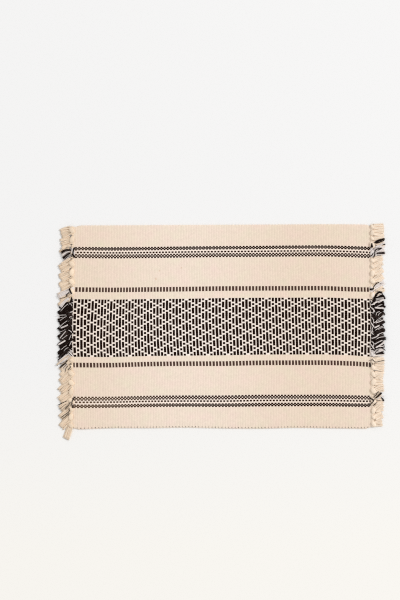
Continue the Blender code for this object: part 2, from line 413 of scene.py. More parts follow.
@dataclass
class Draft:
    """The chart in a material's node tree, on the weave's own UV map: ribs along U, warp place along V."""

    g: Graph
    chart: Chart

    def __post_init__(self) -> None:
        """Finds each point's kind of rib, pair of ribs and row."""
        g, chart = self.g, self.chart
        split = g.add("ShaderNodeSeparateXYZ", g.add("ShaderNodeUVMap", uv_map="weave"))
        self.u, self.v = split.outputs[0], split.outputs[1]
        # From 0 on the crest of an even rib to 1 on the crest of an odd one
        from_crest = g.add(MATH, self.u, 0.5, operation="SUBTRACT")
        self.from_even = g.add(MATH, from_crest, 1.0, operation="PINGPONG")
        pair = g.add(MATH, g.add(MATH, self.u, 0.5, operation="ADD"), 2.0, operation="DIVIDE")
        self.pair = g.add(MATH, pair, operation="FLOOR")
        # Rows below the lozenge band's upper edge, and millimetres outwards from the nearer dot row
        upper_edge = chart.band_first + chart.row / 2
        down = g.add(MATH, upper_edge, self.v, operation="SUBTRACT")
        self.down = g.add(MATH, down, chart.row, operation="DIVIDE")
        outwards = g.add(MATH, self.v, chart.chains_middle, operation="SUBTRACT")
        outwards = g.add(MATH, outwards, operation="ABSOLUTE")
        self.outwards = g.add(MATH, outwards, chart.chains_out, operation="SUBTRACT")
        self.middle = chart.band_rows / 2
        self.inside = g.add(MATH, self.down, self.middle, self.middle, operation="COMPARE")
        self.near_chain = g.add(MATH, self.outwards, 0.0, chart.chain_half, operation="COMPARE")

    def lozenges(self) -> bpy.types.Node:
        """Where the band's floats are black.

        They are undyed where row and rib pair are equally far from a multiple of the repeat.

        Returns:
            The node, 1 on a black float and 0 elsewhere.
        """
        g, chart = self.g, self.chart
        # 0 halfway down a row and 1 at its edges, where a dark float is narrower
        edge = g.add(MATH, g.add(MATH, self.down, 0.5, operation="SUBTRACT"), 0.5, operation="PINGPONG")
        edge = g.add(MATH, g.add(MATH, edge, 2.0, operation="MULTIPLY"), chart.cut_power, operation="POWER")
        reach = g.add(MATH, edge, -chart.float_cut, chart.float_reach, operation="MULTIPLY_ADD")
        band = g.add(MATH, self.from_even, reach, operation="LESS_THAN")
        band = g.add(MATH, band, self.inside, operation="MULTIPLY")

        half = chart.repeat / 2
        row_fold = g.add(MATH, g.add(MATH, self.down, operation="FLOOR"), half, operation="PINGPONG")
        pair_fold = g.add(MATH, self.pair, chart.offset, operation="ADD")
        pair_fold = g.add(MATH, pair_fold, half, operation="PINGPONG")
        undyed = g.add(MATH, row_fold, pair_fold, 0.5, operation="COMPARE")
        # Black floats bulge a little over the undyed one that parts them, but not over the band's edges
        core = g.add(MATH, self.down, self.middle, self.middle - 0.5, operation="COMPARE")
        bulge = g.add(MATH, edge, chart.bulge_from, operation="GREATER_THAN")
        bulge = g.add(MATH, bulge, core, operation="MULTIPLY")
        undyed = g.add(MATH, undyed, bulge, operation="SUBTRACT", use_clamp=True)
        band = g.add(MATH, band, undyed, operation="SUBTRACT", use_clamp=True)

        slip = g.add(MATH, row_fold, chart.fault_fold, 0.5, operation="COMPARE")
        slip = g.add(MATH, slip, self.inside, operation="MULTIPLY")
        slip = g.add(MATH, slip, g.add(MATH, self.u, *chart.fault, operation="COMPARE"), operation="MULTIPLY")
        return g.add(MATH, band, slip, operation="MAXIMUM")

    def stripes(self, along: object, rows: Sequence[tuple[float, float, Ribs]]) -> bpy.types.Node:
        """Where a few rows show dark floats, each on one kind of rib.

        Args:
            along: What the rows' places are measured on.
            rows: Place, height and kind of rib of each.

        Returns:
            The node, 1 on a dark float and 0 elsewhere.
        """
        g, reach = self.g, self.chart.stripe_reach
        on_even = g.add(MATH, self.from_even, reach, operation="LESS_THAN")
        on_odd = g.add(MATH, self.from_even, 1.0 - reach, operation="GREATER_THAN")
        on = {Ribs.EVEN: on_even, Ribs.ODD: on_odd}
        dark = None
        for place, height, ribs in rows:
            bar = g.add(MATH, along, place, height / 2, operation="COMPARE")
            bar = g.add(MATH, bar, on[ribs], operation="MULTIPLY")
            dark = bar if dark is None else g.add(MATH, dark, bar, operation="MAXIMUM")
        return dark

    def neps(self) -> list[bpy.types.Node]:
        """How strongly each seed fleck shows: most within its core, then fading.

        Returns:
            One node for each fleck, 0 beyond its reach.
        """
        g, chart, made = self.g, self.chart, []
        for rib, place, reach in chart.neps:
            beside = g.add(MATH, self.u, rib, operation="SUBTRACT")
            beside = g.add(MATH, beside, chart.rib, operation="MULTIPLY")
            above = g.add(MATH, self.v, place, operation="SUBTRACT")
            apart = g.add("ShaderNodeCombineXYZ", beside, above)
            apart = g.add("ShaderNodeVectorMath", apart, operation="LENGTH").outputs["Value"]
            core = chart.nep_core * reach
            made.append(g.add("ShaderNodeMapRange", apart, core, reach, chart.nep_cover, 0.0))
        return made

    def holes(self) -> bpy.types.Node:
        """Where shade is painted in the little holes between the weft's turns along the near selvedge,
        stronger in some than others.

        Returns:
            The node, from 0 off the holes to 1 where their painted shade is strongest.
        """
        g, chart = self.g, self.chart
        from_gap = g.add(MATH, self.u, 1.0, operation="PINGPONG")
        hole = g.add("ShaderNodeMapRange", from_gap, *chart.hole_reach, 1.0, 0.0)
        on_line = g.add(MATH, self.v, *chart.hole_line, operation="COMPARE")
        hole = g.add(MATH, hole, on_line, operation="MULTIPLY")
        chance = g.add("ShaderNodeTexWhiteNoise", at={"W": self.pair}, noise_dimensions="1D")
        hole_shade_by = g.add(MATH, chance, *chart.hole_shade_range, operation="MULTIPLY_ADD")
        return g.add(MATH, hole, hole_shade_by, operation="MULTIPLY")


@dataclass(frozen=True)
class WovenCotton:
    """Undyed and black cotton in a warp-faced weave, washed and pressed.

    To the eye: matt and warm, each rib a row of rounded floats set like bricks. The valleys between the
    floats and the holes by the near selvedge are painted a little darker, as shade. Black warp is
    near-black in the band and browner in the narrow stripes, where the undyed floats beside it show through.
    """

    chart: Chart
    cream: str = "F1E7D0"
    cream_rosy: str = "F9E0D5"
    cream_band: str = "FFF3E9"
    cream_chain: str = "FFEFE2"
    # Each dark dye is a pair: a darker colour painted between the plies as shade, and the yarn's colour on
    # them
    black: tuple[str, str] = ("0F0300", "27150D")  # painted shade between the plies, and the yarn's colour on them
    brown: tuple[str, str] = ("1E0B03", "331C10")
    ladder_brown: tuple[str, str] = ("45302A", "5B453C")
    worn_brown: str = "7A624C"
    seed: str = "C99F78"
    aged: str = "F8F4EF"  # what the yellower lengths of the warp give back of the fresh colour
    roughness: float = 0.93
    specular: float = 0.06
    yarn: float = 0.75  # mm, the thickness of the two-ply warp
    float_height: float = 0.1  # mm
    ply_height: float = 0.07  # of the plies on a float, over its own height
    roundness: float = 0.6  # power of a float's rounded section: 1 is a sine, less is flatter
    patches: tuple[float, float] = (0.11, 0.05)  # how soon the cream turns rosy: by the rib and by the mm
    uneven: tuple[float, float] = (0.06, 0.945)  # spread of the yarns' tone, and the least of it
    valley_painted_shade: tuple[float, float] = (0.6, 0.98)  # painted shade in the valleys: where it starts, over the float's height, and its tone
    hole_painted_shade: float = 0.75  # painted shade: share of the colour taken away where a hole's shade is strongest
    wear: float = 0.55  # how far the chains' dye has gone at the near left corner
    worn: tuple[float, float] = (12.0, 75.0)  # ribs from that corner where it starts to recover and has
    worn_up: float = 0.19  # what a millimetre up the cloth counts there, in ribs
    age: float = 0.42  # half of how far the cloth has yellowed where it has most
    freshest: float = 70.0  # ribs from the left end to where it has least
    age_wave: float = 160.0  # ribs from there to the next such place, if the cloth went on

    def make(self) -> bpy.types.Material:
        """Builds the material on the weave's own UV map.

        Returns:
            The material.
        """
        g = Graph("woven_cotton")
        draft = Draft(g, self.chart)
        # Every other rib's floats lie half a row lower, like bricks
        odd = g.add(MATH, draft.from_even, 0.5, operation="GREATER_THAN")
        brick = g.add(MATH, odd, 0.5, draft.down, operation="MULTIPLY_ADD")
        across, along = g.arch(brick, self.roundness), g.arch(draft.u, self.roundness)
        pillow = g.add(MATH, across, along, operation="MULTIPLY")
        # The plies are fine slanting lines over each float
        lay = g.add(MATH, draft.u, self.chart.rib, operation="MULTIPLY")
        lay = g.add(MATH, lay, draft.v, operation="ADD")
        lay = g.add(MATH, g.add(MATH, lay, TAU / self.yarn, operation="MULTIPLY"), operation="SINE")
        height = g.add(MATH, lay, self.ply_height, pillow, operation="MULTIPLY_ADD")
        relief = {"Strength": 1.0, "Distance": self.float_height * MM, "Height": height}
        bump = g.add("ShaderNodeBump", at=relief)
        fresh, aged, tone = self.colour(draft, lay), self.yellowing(draft), self.tone(draft, brick, pillow)
        colour = g.add("ShaderNodeVectorMath", fresh, aged, operation="MULTIPLY")
        colour = g.add("ShaderNodeVectorMath", colour, at={"Scale": tone}, operation="SCALE")
        return g.dress(
            Base_Color=colour, Roughness=self.roughness, Specular_IOR_Level=self.specular, Normal=bump
        )

    def colour(self, draft: Draft, lay: bpy.types.Node) -> bpy.types.NodeSocket:
        """The undyed ground with everything that lies over it: flecks, paler warp, and dark floats.

        Args:
            draft: The chart in the node tree.
            lay: From -1 between the plies to 1 on them.

        Returns:
            The colour's socket.
        """
        g = draft.g
        beside = g.add(MATH, draft.u, self.patches[0], operation="MULTIPLY")
        above = g.add(MATH, draft.v, self.patches[1], operation="MULTIPLY")
        patch = g.add("ShaderNodeCombineXYZ", beside, above)
        cloud = g.add("ShaderNodeTexNoise", patch, at={"Scale": 1.0, "Detail": 3.0}, noise_dimensions="2D")
        creams = {MIX_A: linear(self.cream), MIX_B: linear(self.cream_rosy)}
        colour = g.add(MIX, cloud, at=creams, data_type="RGBA").outputs[MIXED]

        coats = [(nep, linear(self.seed)) for nep in draft.neps()]
        coats += [(draft.inside, linear(self.cream_band)), (draft.near_chain, linear(self.cream_chain))]
        ladders = draft.stripes(draft.v, self.chart.ladders)
        chains = draft.stripes(draft.outwards, self.chart.links)
        # The dark floats are painted darker between the plies, as shade
        on_ply = g.add(MATH, lay, 0.5, 0.5, operation="MULTIPLY_ADD")
        for mask, dye in ((draft.lozenges(), self.black), (ladders, self.ladder_brown), (chains, self.brown)):
            between_plies_shade, crest = (linear(code) for code in dye)
            yarn = g.add(MIX, on_ply, at={MIX_A: between_plies_shade, MIX_B: crest}, data_type="RGBA").outputs[MIXED]
            coats.append((mask, yarn))
        corner = g.add(MATH, draft.v, -self.chart.hole_line[0], operation="ADD")
        corner = g.add(MATH, corner, self.worn_up, draft.u, operation="MULTIPLY_ADD")
        worn = g.add("ShaderNodeMapRange", corner, *self.worn, self.wear, 0.0)
        coats.append((g.add(MATH, worn, chains, operation="MULTIPLY"), linear(self.worn_brown)))
        for mask, coat in coats:
            colour = g.add(MIX, mask, at={MIX_A: colour, MIX_B: coat}, data_type="RGBA").outputs[MIXED]
        return colour

    def yellowing(self, draft: Draft) -> bpy.types.NodeSocket:
        """The filter that makes the cloth yellower towards its ends, as a slow cosine along it.

        Args:
            draft: The chart in the node tree.

        Returns:
            The colour that the cloth's own is multiplied by.
        """
        g = draft.g
        wave = g.add(MATH, draft.u, self.freshest, operation="SUBTRACT")
        wave = g.add(MATH, wave, TAU / self.age_wave, operation="MULTIPLY")
        wave = g.add(MATH, wave, operation="COSINE")
        age = g.add(MATH, wave, -self.age, self.age, operation="MULTIPLY_ADD")
        filters = {MIX_A: linear("FFFFFF"), MIX_B: linear(self.aged)}
        return g.add(MIX, age, at=filters, data_type="RGBA").outputs[MIXED]

    def tone(self, draft: Draft, brick: bpy.types.Node, pillow: bpy.types.Node) -> bpy.types.Node:
        """How light each float is: yarns differ a little at random, and shade is painted darker in the
        valleys and the near selvedge's holes.

        Args:
            draft: The chart in the node tree.
            brick: Rows down, counted from each rib's own first float.
            pillow: How high a point lies on its float, from 0 to 1.

        Returns:
            The node that the colour is scaled by.
        """
        g = draft.g
        rib = g.add(MATH, draft.u, operation="FLOOR")
        cell = g.add("ShaderNodeCombineXYZ", rib, g.add(MATH, brick, operation="FLOOR"))
        chance = g.add("ShaderNodeTexWhiteNoise", cell, noise_dimensions="2D")
        tone = g.add(MATH, chance, *self.uneven, operation="MULTIPLY_ADD")
        # Painted shade: the colour is darkened in the valleys between the floats
        painted_shade_from, painted_shade_tone = self.valley_painted_shade
        valley_shade_factor = g.add("ShaderNodeMapRange", pillow, 0.0, painted_shade_from, painted_shade_tone, 1.0)
        tone = g.add(MATH, tone, valley_shade_factor, operation="MULTIPLY")
        # Painted shade: the colour is darkened in the holes by the near selvedge
        hole_shade_factor = g.add(MATH, draft.holes(), -self.hole_painted_shade, 1.0, operation="MULTIPLY_ADD")
        return g.add(MATH, tone, hole_shade_factor, operation="MULTIPLY")


@dataclass(frozen=True)
class SpunCotton:
    """Plied cotton yarn, a little fuzzy where it is cut.

    To the eye: matt, with the plies winding round it as soft slanting ridges, and shade painted darker
    between them.
    """

    name: str
    colour: str
    # the colour painted between the plies, as shade
    ply_valley_shade: str
    lint: float = 0.0  # most of the surface that pale fibres cover
    lint_colour: str = "C4ABA0"
    lint_size: tuple[float, float] = (0.5, 7.0)  # how soon they change: by the mm along and by the turn
    lint_edge: tuple[float, float] = (0.4, 0.7)  # noise at which they begin to show, and show fully
    lint_power: float = 2.0  # how much more of them the lighter yarns have
    plies: float = 3.0
    lay: float = 4.6  # mm for one turn of the plies
    roundness: float = 0.7  # power of a ply's rounded section
    relief: float = 0.22  # mm, of the plies
    relief_share: float = 0.8  # how far it tilts the light
    fuzz: tuple[float, float] = (0.5, 0.35)  # mm across, and its share of the relief
    uneven: tuple[float, float] = (0.07, 0.95)  # how far a shade moves a yarn's tone, and the middle tone
    roughness: float = 0.95
    specular: float = 0.1

    def make(self) -> bpy.types.Material:
        """Builds the material on the yarn's own UV map: millimetres along U, turns round it along V.

        Returns:
            The material.
        """
        g = Graph(self.name)
        yarn = g.add("ShaderNodeUVMap", uv_map="yarn")
        split = g.add("ShaderNodeSeparateXYZ", yarn)
        wound = g.add(MATH, split.outputs[0], self.plies / self.lay, operation="MULTIPLY")
        wound = g.add(MATH, split.outputs[1], self.plies, wound, operation="MULTIPLY_ADD")
        ridge = g.arch(wound, self.roundness)
        place = g.add("ShaderNodeTexCoord").outputs["Object"]
        fuzz_size, fuzz_height = self.fuzz
        fuzz = g.add("ShaderNodeTexNoise", place, at={"Scale": 1.0 / (fuzz_size * MM), "Detail": 2.0})
        height = g.add(MATH, fuzz, fuzz_height, ridge, operation="MULTIPLY_ADD")
        relief = {"Strength": self.relief_share, "Distance": self.relief * MM, "Height": height}
        bump = g.add("ShaderNodeBump", at=relief)

        # Painted shade: a darker colour between the plies, the yarn's own colour on them
        ply_shading = {MIX_A: linear(self.ply_valley_shade), MIX_B: linear(self.colour)}
        colour = g.add(MIX, ridge, at=ply_shading, data_type="RGBA").outputs[MIXED]
        shade = g.add("ShaderNodeAttribute", attribute_name="shade").outputs["Fac"]
        if self.lint:
            # Fibres lie along the yarn, and yarns of a lighter shade picked up more of them
            stretched = g.add("ShaderNodeVectorMath", yarn, (*self.lint_size, 0.0), operation="MULTIPLY")
            coarse = {"Scale": 1.0, "Detail": 1.0}
            fibres = g.add("ShaderNodeTexNoise", stretched, at=coarse, noise_dimensions="2D")
            fibres = g.add("ShaderNodeMapRange", fibres, *self.lint_edge, 0.0, 1.0)
            share = g.add(MATH, shade, 0.5, 0.5, operation="MULTIPLY_ADD")
            share = g.add(MATH, share, self.lint_power, operation="POWER")
            cover = g.add(MATH, fibres, share, operation="MULTIPLY")
            cover = g.add(MATH, cover, self.lint, operation="MULTIPLY")
            linted = {MIX_A: colour, MIX_B: linear(self.lint_colour)}
            colour = g.add(MIX, cover, at=linted, data_type="RGBA").outputs[MIXED]
        tone = g.add(MATH, shade, *self.uneven, operation="MULTIPLY_ADD")
        colour = g.add("ShaderNodeVectorMath", colour, at={"Scale": tone}, operation="SCALE")
        return g.dress(
            Base_Color=colour, Roughness=self.roughness, Specular_IOR_Level=self.specular, Normal=bump
        )


@dataclass(frozen=True)
class PaintedBoard:
    """A matt painted board, rolled smooth. To the eye: nearly white, warmer towards the front, and painted
    lighter there, where the lamp gives less light.
    """

    far: str = "F4F4F4"
    # painted a little lighter than the far colour, where the lamp gives less light
    near: str = "F8F6F1"
    blend: tuple[float, float] = (-0.36, -0.06)  # metres along Y, from near to far
    roughness: float = 0.85
    specular: float = 0.2

    def make(self) -> bpy.types.Material:
        """Builds the material on Object coordinates, blending from near to far along Y.

        Returns:
            The material.
        """
        g = Graph("painted_board")
        split = g.add("ShaderNodeSeparateXYZ", g.add("ShaderNodeTexCoord").outputs["Object"])
        share = g.add("ShaderNodeMapRange", split.outputs[1], *self.blend, 0.0, 1.0)
        colours = {MIX_A: linear(self.near), MIX_B: linear(self.far)}
        colour = g.add(MIX, share, at=colours, data_type="RGBA").outputs[MIXED]
        return g.dress(Base_Color=colour, Roughness=self.roughness, Specular_IOR_Level=self.specular)


# ---------------------------------------------------------------- cloth


@dataclass
class Cloth:
    """The woven rectangle between the fringes, as it lies on the table. Sizes in millimetres."""

    chart: Chart
    length: float = 480.0
    width: float = 331.0
    ribs: int = 182
    extra: int = 1  # ribs beyond the length at the left end, where the knots come close
    first_rib: float = 0.3  # how much wider the rib at the left end lies
    crest: float = 2.8
    groove: float = 2.58
    under_groove: float = 0.3  # how far the underside rises in a groove
    roundness: float = 0.6  # power of the rounded section of ribs and turns: 1 is a sine, less is flatter
    edge_round: float = 2.4  # breadth of the part that comes down to a selvedge
    edge_levels: tuple[float, float] = (0.9, 1.5)  # the upright part of a selvedge
    turn: float = 0.75  # how far a weft's turn stands out of the selvedge
    turn_reach: float = 1.0  # how far from the rounded part the turns begin to show
    gap_depth: float = 1.1  # of the little holes between the turns of the near selvedge
    gap_reach: float = 0.25  # half breadth of one, in ribs
    end_step: float = 0.16  # ribs from the outermost grooves to the cloth's ends
    end_pinch: float = 0.55  # how far top and underside close in there
    corner_pull: float = 2.2  # how far the last knots draw a corner in
    corner_reach: float = 9.0
    drift_reach: float = 135.0  # warp place beyond which the drift stays as it is
    wander: float = 0.09  # how far each weft strays by itself, in each of its waves
    wander_waves: tuple[float, ...] = (31.0, 53.0, 97.0)
    still_ribs: float = 3.0  # ribs at each end in which the wander fades
    swells: tuple[tuple[float, float, float], ...] = (  # waves along, half waves across, and their size
        (2.0, 1.0, 0.10),
        (5.0, 3.0, 0.05),
        (11.0, 7.0, 0.03),
    )
    rows: int = 46  # of points between the selvedges
    steps: int = 4  # columns of points a rib
    edge_steps: int = 4
    seed: int = 5

    drift: Survey = Survey(
        stations=(0.01, 0.0625, 0.125, 0.25, 0.375, 0.5, 0.625, 0.75, 0.875, 0.9375, 0.99),
        lines=(-122.4, -62.0, -36.4, 1.0, 33.5, 60.5, 121.0),
        readings=(
            (-0.7, 2.1, 2.6, 1.3, 1.0, 2.2, 3.5, 3.7, 2.8, 2.1, 2.1),
            (0.8, 2.0, 1.4, -0.1, 0.0, 1.2, 2.6, 3.1, 2.6, 2.2, 1.8),
            (-0.6, 0.4, -0.4, -1.8, -1.8, -0.3, 1.5, 2.0, 2.1, 2.4, 2.1),
            (-0.8, 0.6, -0.4, -2.9, -3.4, -1.9, 0.1, 0.7, 1.5, 2.9, 3.1),
            (0.4, 2.1, 0.6, -2.9, -3.8, -2.4, -0.7, 0.0, 1.1, 2.6, 2.4),
            (2.2, 3.3, 1.7, -2.4, -3.6, -2.3, -0.8, -0.6, 0.6, 1.6, 0.8),
            (1.5, 2.4, 1.6, -1.5, -2.8, -1.6, 0.0, 0.3, 1.0, 1.9, 1.9),
        ),
    )
    bow: Survey = Survey(
        stations=(0.0, 0.12, 0.25, 0.37, 0.5, 0.62, 0.75, 0.85, 0.93, 1.0),
        lines=(-165.5, -122.4, -62.0, -47.3, 43.3, 60.5, 121.0, 165.5),
        readings=(
            (-1.0, 1.4, 1.5, 2.4, 1.1, 0.8, 2.1, 1.4, 0.9, 0.5),
            (0.5, 0.9, 2.2, 2.7, 2.6, 3.6, 3.7, 3.7, 2.9, 2.2),
            (0.4, 0.2, 1.9, 2.6, 2.7, 3.9, 4.2, 4.1, 2.9, 1.0),
            (0.6, 0.2, 1.8, 2.4, 3.0, 4.1, 4.3, 4.3, 3.0, 0.6),
            (0.8, 0.0, 0.8, 1.3, 2.4, 3.0, 3.2, 3.5, 2.0, 1.3),
            (0.6, 0.0, 0.6, 1.2, 2.2, 2.4, 2.6, 2.6, 1.1, 0.4),
            (0.7, 0.0, 0.5, 1.3, 2.0, 2.4, 3.1, 3.2, 2.0, 0.7),
            (-0.5, -0.3, 0.0, 0.3, 0.6, 0.9, 1.2, 1.4, 1.3, 0.8),
        ),
    )

    def lie(self, rib: np.ndarray, place: np.ndarray) -> tuple[np.ndarray, np.ndarray]:
        """Where the cloth lies: even spacing plus the surveys, with the corners drawn in.

        A corner is drawn in by the pull, eased along the cloth, times the sixth power of how near the
        selvedge a point is.

        Args:
            rib: Rib coordinates, one axis: they grow by one a rib, from 0 at the left end of the length.
            place: Warp places, one axis.

        Returns:
            X and Y in millimetres, a row for each rib coordinate and a column for each place.
        """
        share = np.clip(rib / self.ribs, 0.0, 1.0)
        inner = np.clip(place, -0.5 * self.width, 0.5 * self.width)
        drift = self.drift.at(share, np.clip(inner, -self.drift_reach, self.drift_reach))
        x = (rib[:, None] / self.ribs - 0.5) * self.length + drift
        x = x - self.first_rib * (1.0 - np.clip(rib, 0.0, 1.0))[:, None]
        y = place[None, :] + self.bow.at(share, inner)
        from_end = np.minimum(share, 1.0 - share) * self.length
        pull = self.corner_pull * ease(1.0 - from_end / self.corner_reach)
        near_edge = np.abs(place / (0.5 * self.width)) ** 6
        y = y - pull[:, None] * near_edge * np.sign(place)
        return x, y

    def end(self, side: Side, place: np.ndarray) -> tuple[np.ndarray, np.ndarray]:
        """X and Y of one end of the cloth.

        Args:
            side: Which end.
            place: Warp places, one axis.

        Returns:
            X and Y in millimetres, one of each for each warp place.
        """
        rib = np.array([-float(self.extra) if side is Side.LEFT else float(self.ribs)])
        x, y = self.lie(rib, place)
        return x[0], y[0]

    def lines(self) -> tuple[np.ndarray, np.ndarray]:
        """The mesh's lines, which are closest on the selvedges.

        Returns:
            Rib coordinates of its columns and warp places of its rows.
        """
        rib = np.arange(-self.extra * self.steps, self.ribs * self.steps + 1) / self.steps
        rib = np.concatenate([[-self.extra - self.end_step], rib, [self.ribs + self.end_step]])
        inner = 0.5 * self.width - self.edge_round
        corner = self.edge_round * np.sin(np.linspace(0.0, 0.5 * math.pi, self.edge_steps + 1))[1:]
        level = np.linspace(-inner, inner, self.rows)
        return rib, np.concatenate([-(inner + corner)[::-1], level, inner + corner])

    def plan(
        self, rib: np.ndarray, place: np.ndarray, rng: np.random.Generator
    ) -> tuple[np.ndarray, np.ndarray]:
        """X and Y of the mesh: where the cloth lies, with each weft's own wander and its turns.

        The wander is a sum of sines along each weft, each with its own phase. An edge stands out by the
        turn times a rounded arch for each pair of ribs, half a pair off between the two selvedges.

        Args:
            rib: The columns' rib coordinates.
            place: The rows' warp places.
            rng: Where the phases are drawn from.

        Returns:
            X and Y in millimetres, column by row.
        """
        x, y = self.lie(rib, place)
        wander = np.zeros_like(x)
        for wave in self.wander_waves:
            phase = rng.uniform(0.0, TAU, self.ribs + 2)
            phase = np.interp(rib, np.arange(self.ribs + 2) - 0.5, phase)
            wander += self.wander * np.sin(TAU * place[None, :] / wave + phase[:, None])
        x = x + wander * ease(np.minimum(rib, self.ribs - rib) / self.still_ribs)[:, None]

        past_inner = np.abs(place) - 0.5 * self.width + self.edge_round
        out = ease((past_inner + self.turn_reach) / (self.edge_round + self.turn_reach))
        near = np.abs(np.cos(0.5 * math.pi * (rib - 1.0))) ** self.roundness
        far = np.abs(np.cos(0.5 * math.pi * rib)) ** self.roundness
        arch = np.where(place[None, :] < 0.0, near[:, None], far[:, None]) - 0.5
        return x, y + self.turn * arch * out * np.sign(place)

    def levels(
        self, rib: np.ndarray, place: np.ndarray, rng: np.random.Generator
    ) -> tuple[np.ndarray, np.ndarray]:
        """Heights of the mesh's top and underside.

        The top is crest less (crest - groove) times a rounded dip in each valley, less the holes by the
        near selvedge, plus slow swells. At a selvedge it comes down on a quarter ellipse, and at an end
        top and underside close in on each other.

        Args:
            rib: The columns' rib coordinates.
            place: The rows' warp places.
            rng: Where the swells' phases are drawn from.

        Returns:
            Both heights in millimetres, column by row.
        """
        dip = 1.0 - np.abs(np.sin(math.pi * rib)) ** self.roundness
        top = (self.crest - (self.crest - self.groove) * dip)[:, None]
        from_gap = np.abs((rib + 1.0) % 2.0 - 1.0)
        line, half = self.chart.hole_line
        hole = np.clip(1.0 - from_gap / self.gap_reach, 0.0, 1.0)[:, None]
        top = top - self.gap_depth * hole * np.clip(1.0 - np.abs(place - line) / half, 0.0, 1.0)
        for waves, half_waves, size in self.swells:
            a, b = rng.uniform(0.0, TAU, 2)
            along = np.sin(waves * TAU * rib[:, None] / self.ribs + a)
            top = top + size * along * np.sin(half_waves * math.pi * place / self.width + b)
        bottom = np.broadcast_to((self.under_groove * dip)[:, None], top.shape)

        depth = np.clip((0.5 * self.width - np.abs(place)) / self.edge_round, 0.0, 1.0)
        rise = np.sqrt(1.0 - (1.0 - depth) ** 2)
        low, high = self.edge_levels
        top = high + (top - high) * rise
        bottom = low + (bottom - low) * rise
        pinch = np.where((rib < -self.extra) | (rib > self.ribs), self.end_pinch, 0.0)[:, None]
        middle = 0.5 * (top + bottom)
        return top + pinch * (middle - top), bottom + pinch * (middle - bottom)

    def build(self, material: bpy.types.Material) -> bpy.types.Object:
        """Makes the cloth as one closed sheet: rings of points round it, and a cap at each end.

        Args:
            material: Its finish.

        Returns:
            The object.
        """
        rng = np.random.default_rng(self.seed)
        rib, place = self.lines()
        x, y = self.plan(rib, place, rng)
        top, bottom = self.levels(rib, place, rng)
        upper = np.stack([x, y, top], -1)
        lower = np.stack([x, y, bottom], -1)[:, ::-1]
        ring = np.concatenate([upper, lower], axis=1) * MM

        index = np.arange(ring.shape[0] * ring.shape[1]).reshape(ring.shape[:2])
        here, there = index[:-1], index[1:]
        quads = np.stack([here, there, np.roll(there, -1, 1), np.roll(here, -1, 1)], -1).reshape(-1, 4)
        rows = len(place)
        first, last = index[0], index[-1]
        cap = np.stack([first[: rows - 1], first[1:rows], first[::-1][1:rows], first[::-1][: rows - 1]], -1)
        cap_last = np.stack([last[: rows - 1], last[::-1][: rows - 1], last[::-1][1:rows], last[1:rows]], -1)
        faces = np.concatenate([quads, cap, cap_last])
        around = np.concatenate([place, place[::-1]])
        uv = np.stack(np.broadcast_arrays(rib[:, None], around[None, :]), -1).reshape(-1, 2)
        surface = Surface(
            points=[ring.reshape(-1, 3)],
            faces=faces.tolist(),
            corners=[uv[faces.ravel()]],
            finishes=[np.zeros(len(faces), np.int32)],
        )
        return surface.piece("cloth_woven", "weave", [material])

    def dress(
        self, piece: bpy.types.Object, fringes: list[bpy.types.Object], floor: bpy.types.Object
    ) -> None:
        """Puts the cloth in the frame, where it stands for the CAD cloth.

        Args:
            piece: The cloth.
            fringes: Not used.
            floor: Not used.
        """
        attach(piece, "root")
        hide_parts("cloth")


# ---------------------------------------------------------------- fringe


@dataclass(frozen=True)
class Stretch:
    """Neighbouring tassels that lie alike, between two warp places, top first. Millimetres and degrees."""

    edges: tuple[float, ...]
    lean_top: float
    lean_bottom: float
    tip: float  # how far out its ends come, from the mat's middle
    dark: float = 1.0  # share of the fringe's black yarns that show in it
    out: float = 0.0  # how far its knots lie outside the fringe's line of knots


@dataclass(frozen=True)
class Lock:
    """A few warp ends that lie together on top, charted one by one as they fell. Millimetres."""

    yarn: Yarn
    radius: float
    line: tuple[tuple[float, float], ...]  # XY along its middle, from the mat outwards
    ends: int = 1
    gaps: tuple[float, float] = (0.0, 0.0)  # between neighbouring ends, at its start and at its tip


@dataclass(frozen=True)
class Gather:
    """How the warp yarns run from the cloth to a knot. Millimetres."""

    rise: float = 1.6  # height at which they leave the cloth
    top: float = 2.9  # height from halfway on
    past: float = 0.8  # how far beyond the knot's middle they end
    nest: float = 0.84  # share of the tassel's breadth that they take up there
    close: float = 1.5  # power of the way as which they close in
    bump: tuple[float, float] = (-0.25, 0.5)  # least and most of a yarn's own arch
    steps: int = 6


@dataclass(frozen=True)
class Knot:
    """An overhand knot: the yarns go once round the tassel in one bundle. Millimetres and degrees."""

    ring: tuple[float, float] = (3.3, 1.45)  # the bundle's middle line, across and up
    bundle: tuple[float, float] = (1.6, 3.3)  # its radius outwards and along the tassel
    middle: float = 3.0  # height
    slant: float = 24.0
    follow: float = 0.4  # share of the tassel's lean that it takes
    turn: tuple[float, float] = (-115.0, 265.0)  # where the bundle starts and ends
    advance: float = 0.22  # how far it comes along the tassel for each radian
    pinch: float = 0.36  # how much narrower it is at the sides
    plain: float = 10.4  # breadth of the tassel whose knot has these sizes
    growth: tuple[float, float] = (0.82, 1.35)  # least and most of other knots' sizes, over these
    other_way: int = 3  # one knot in so many is tied the other way round
    steps: int = 18
    sides: int = 12
    lobes: int = 6  # yarns that show side by side in the bundle


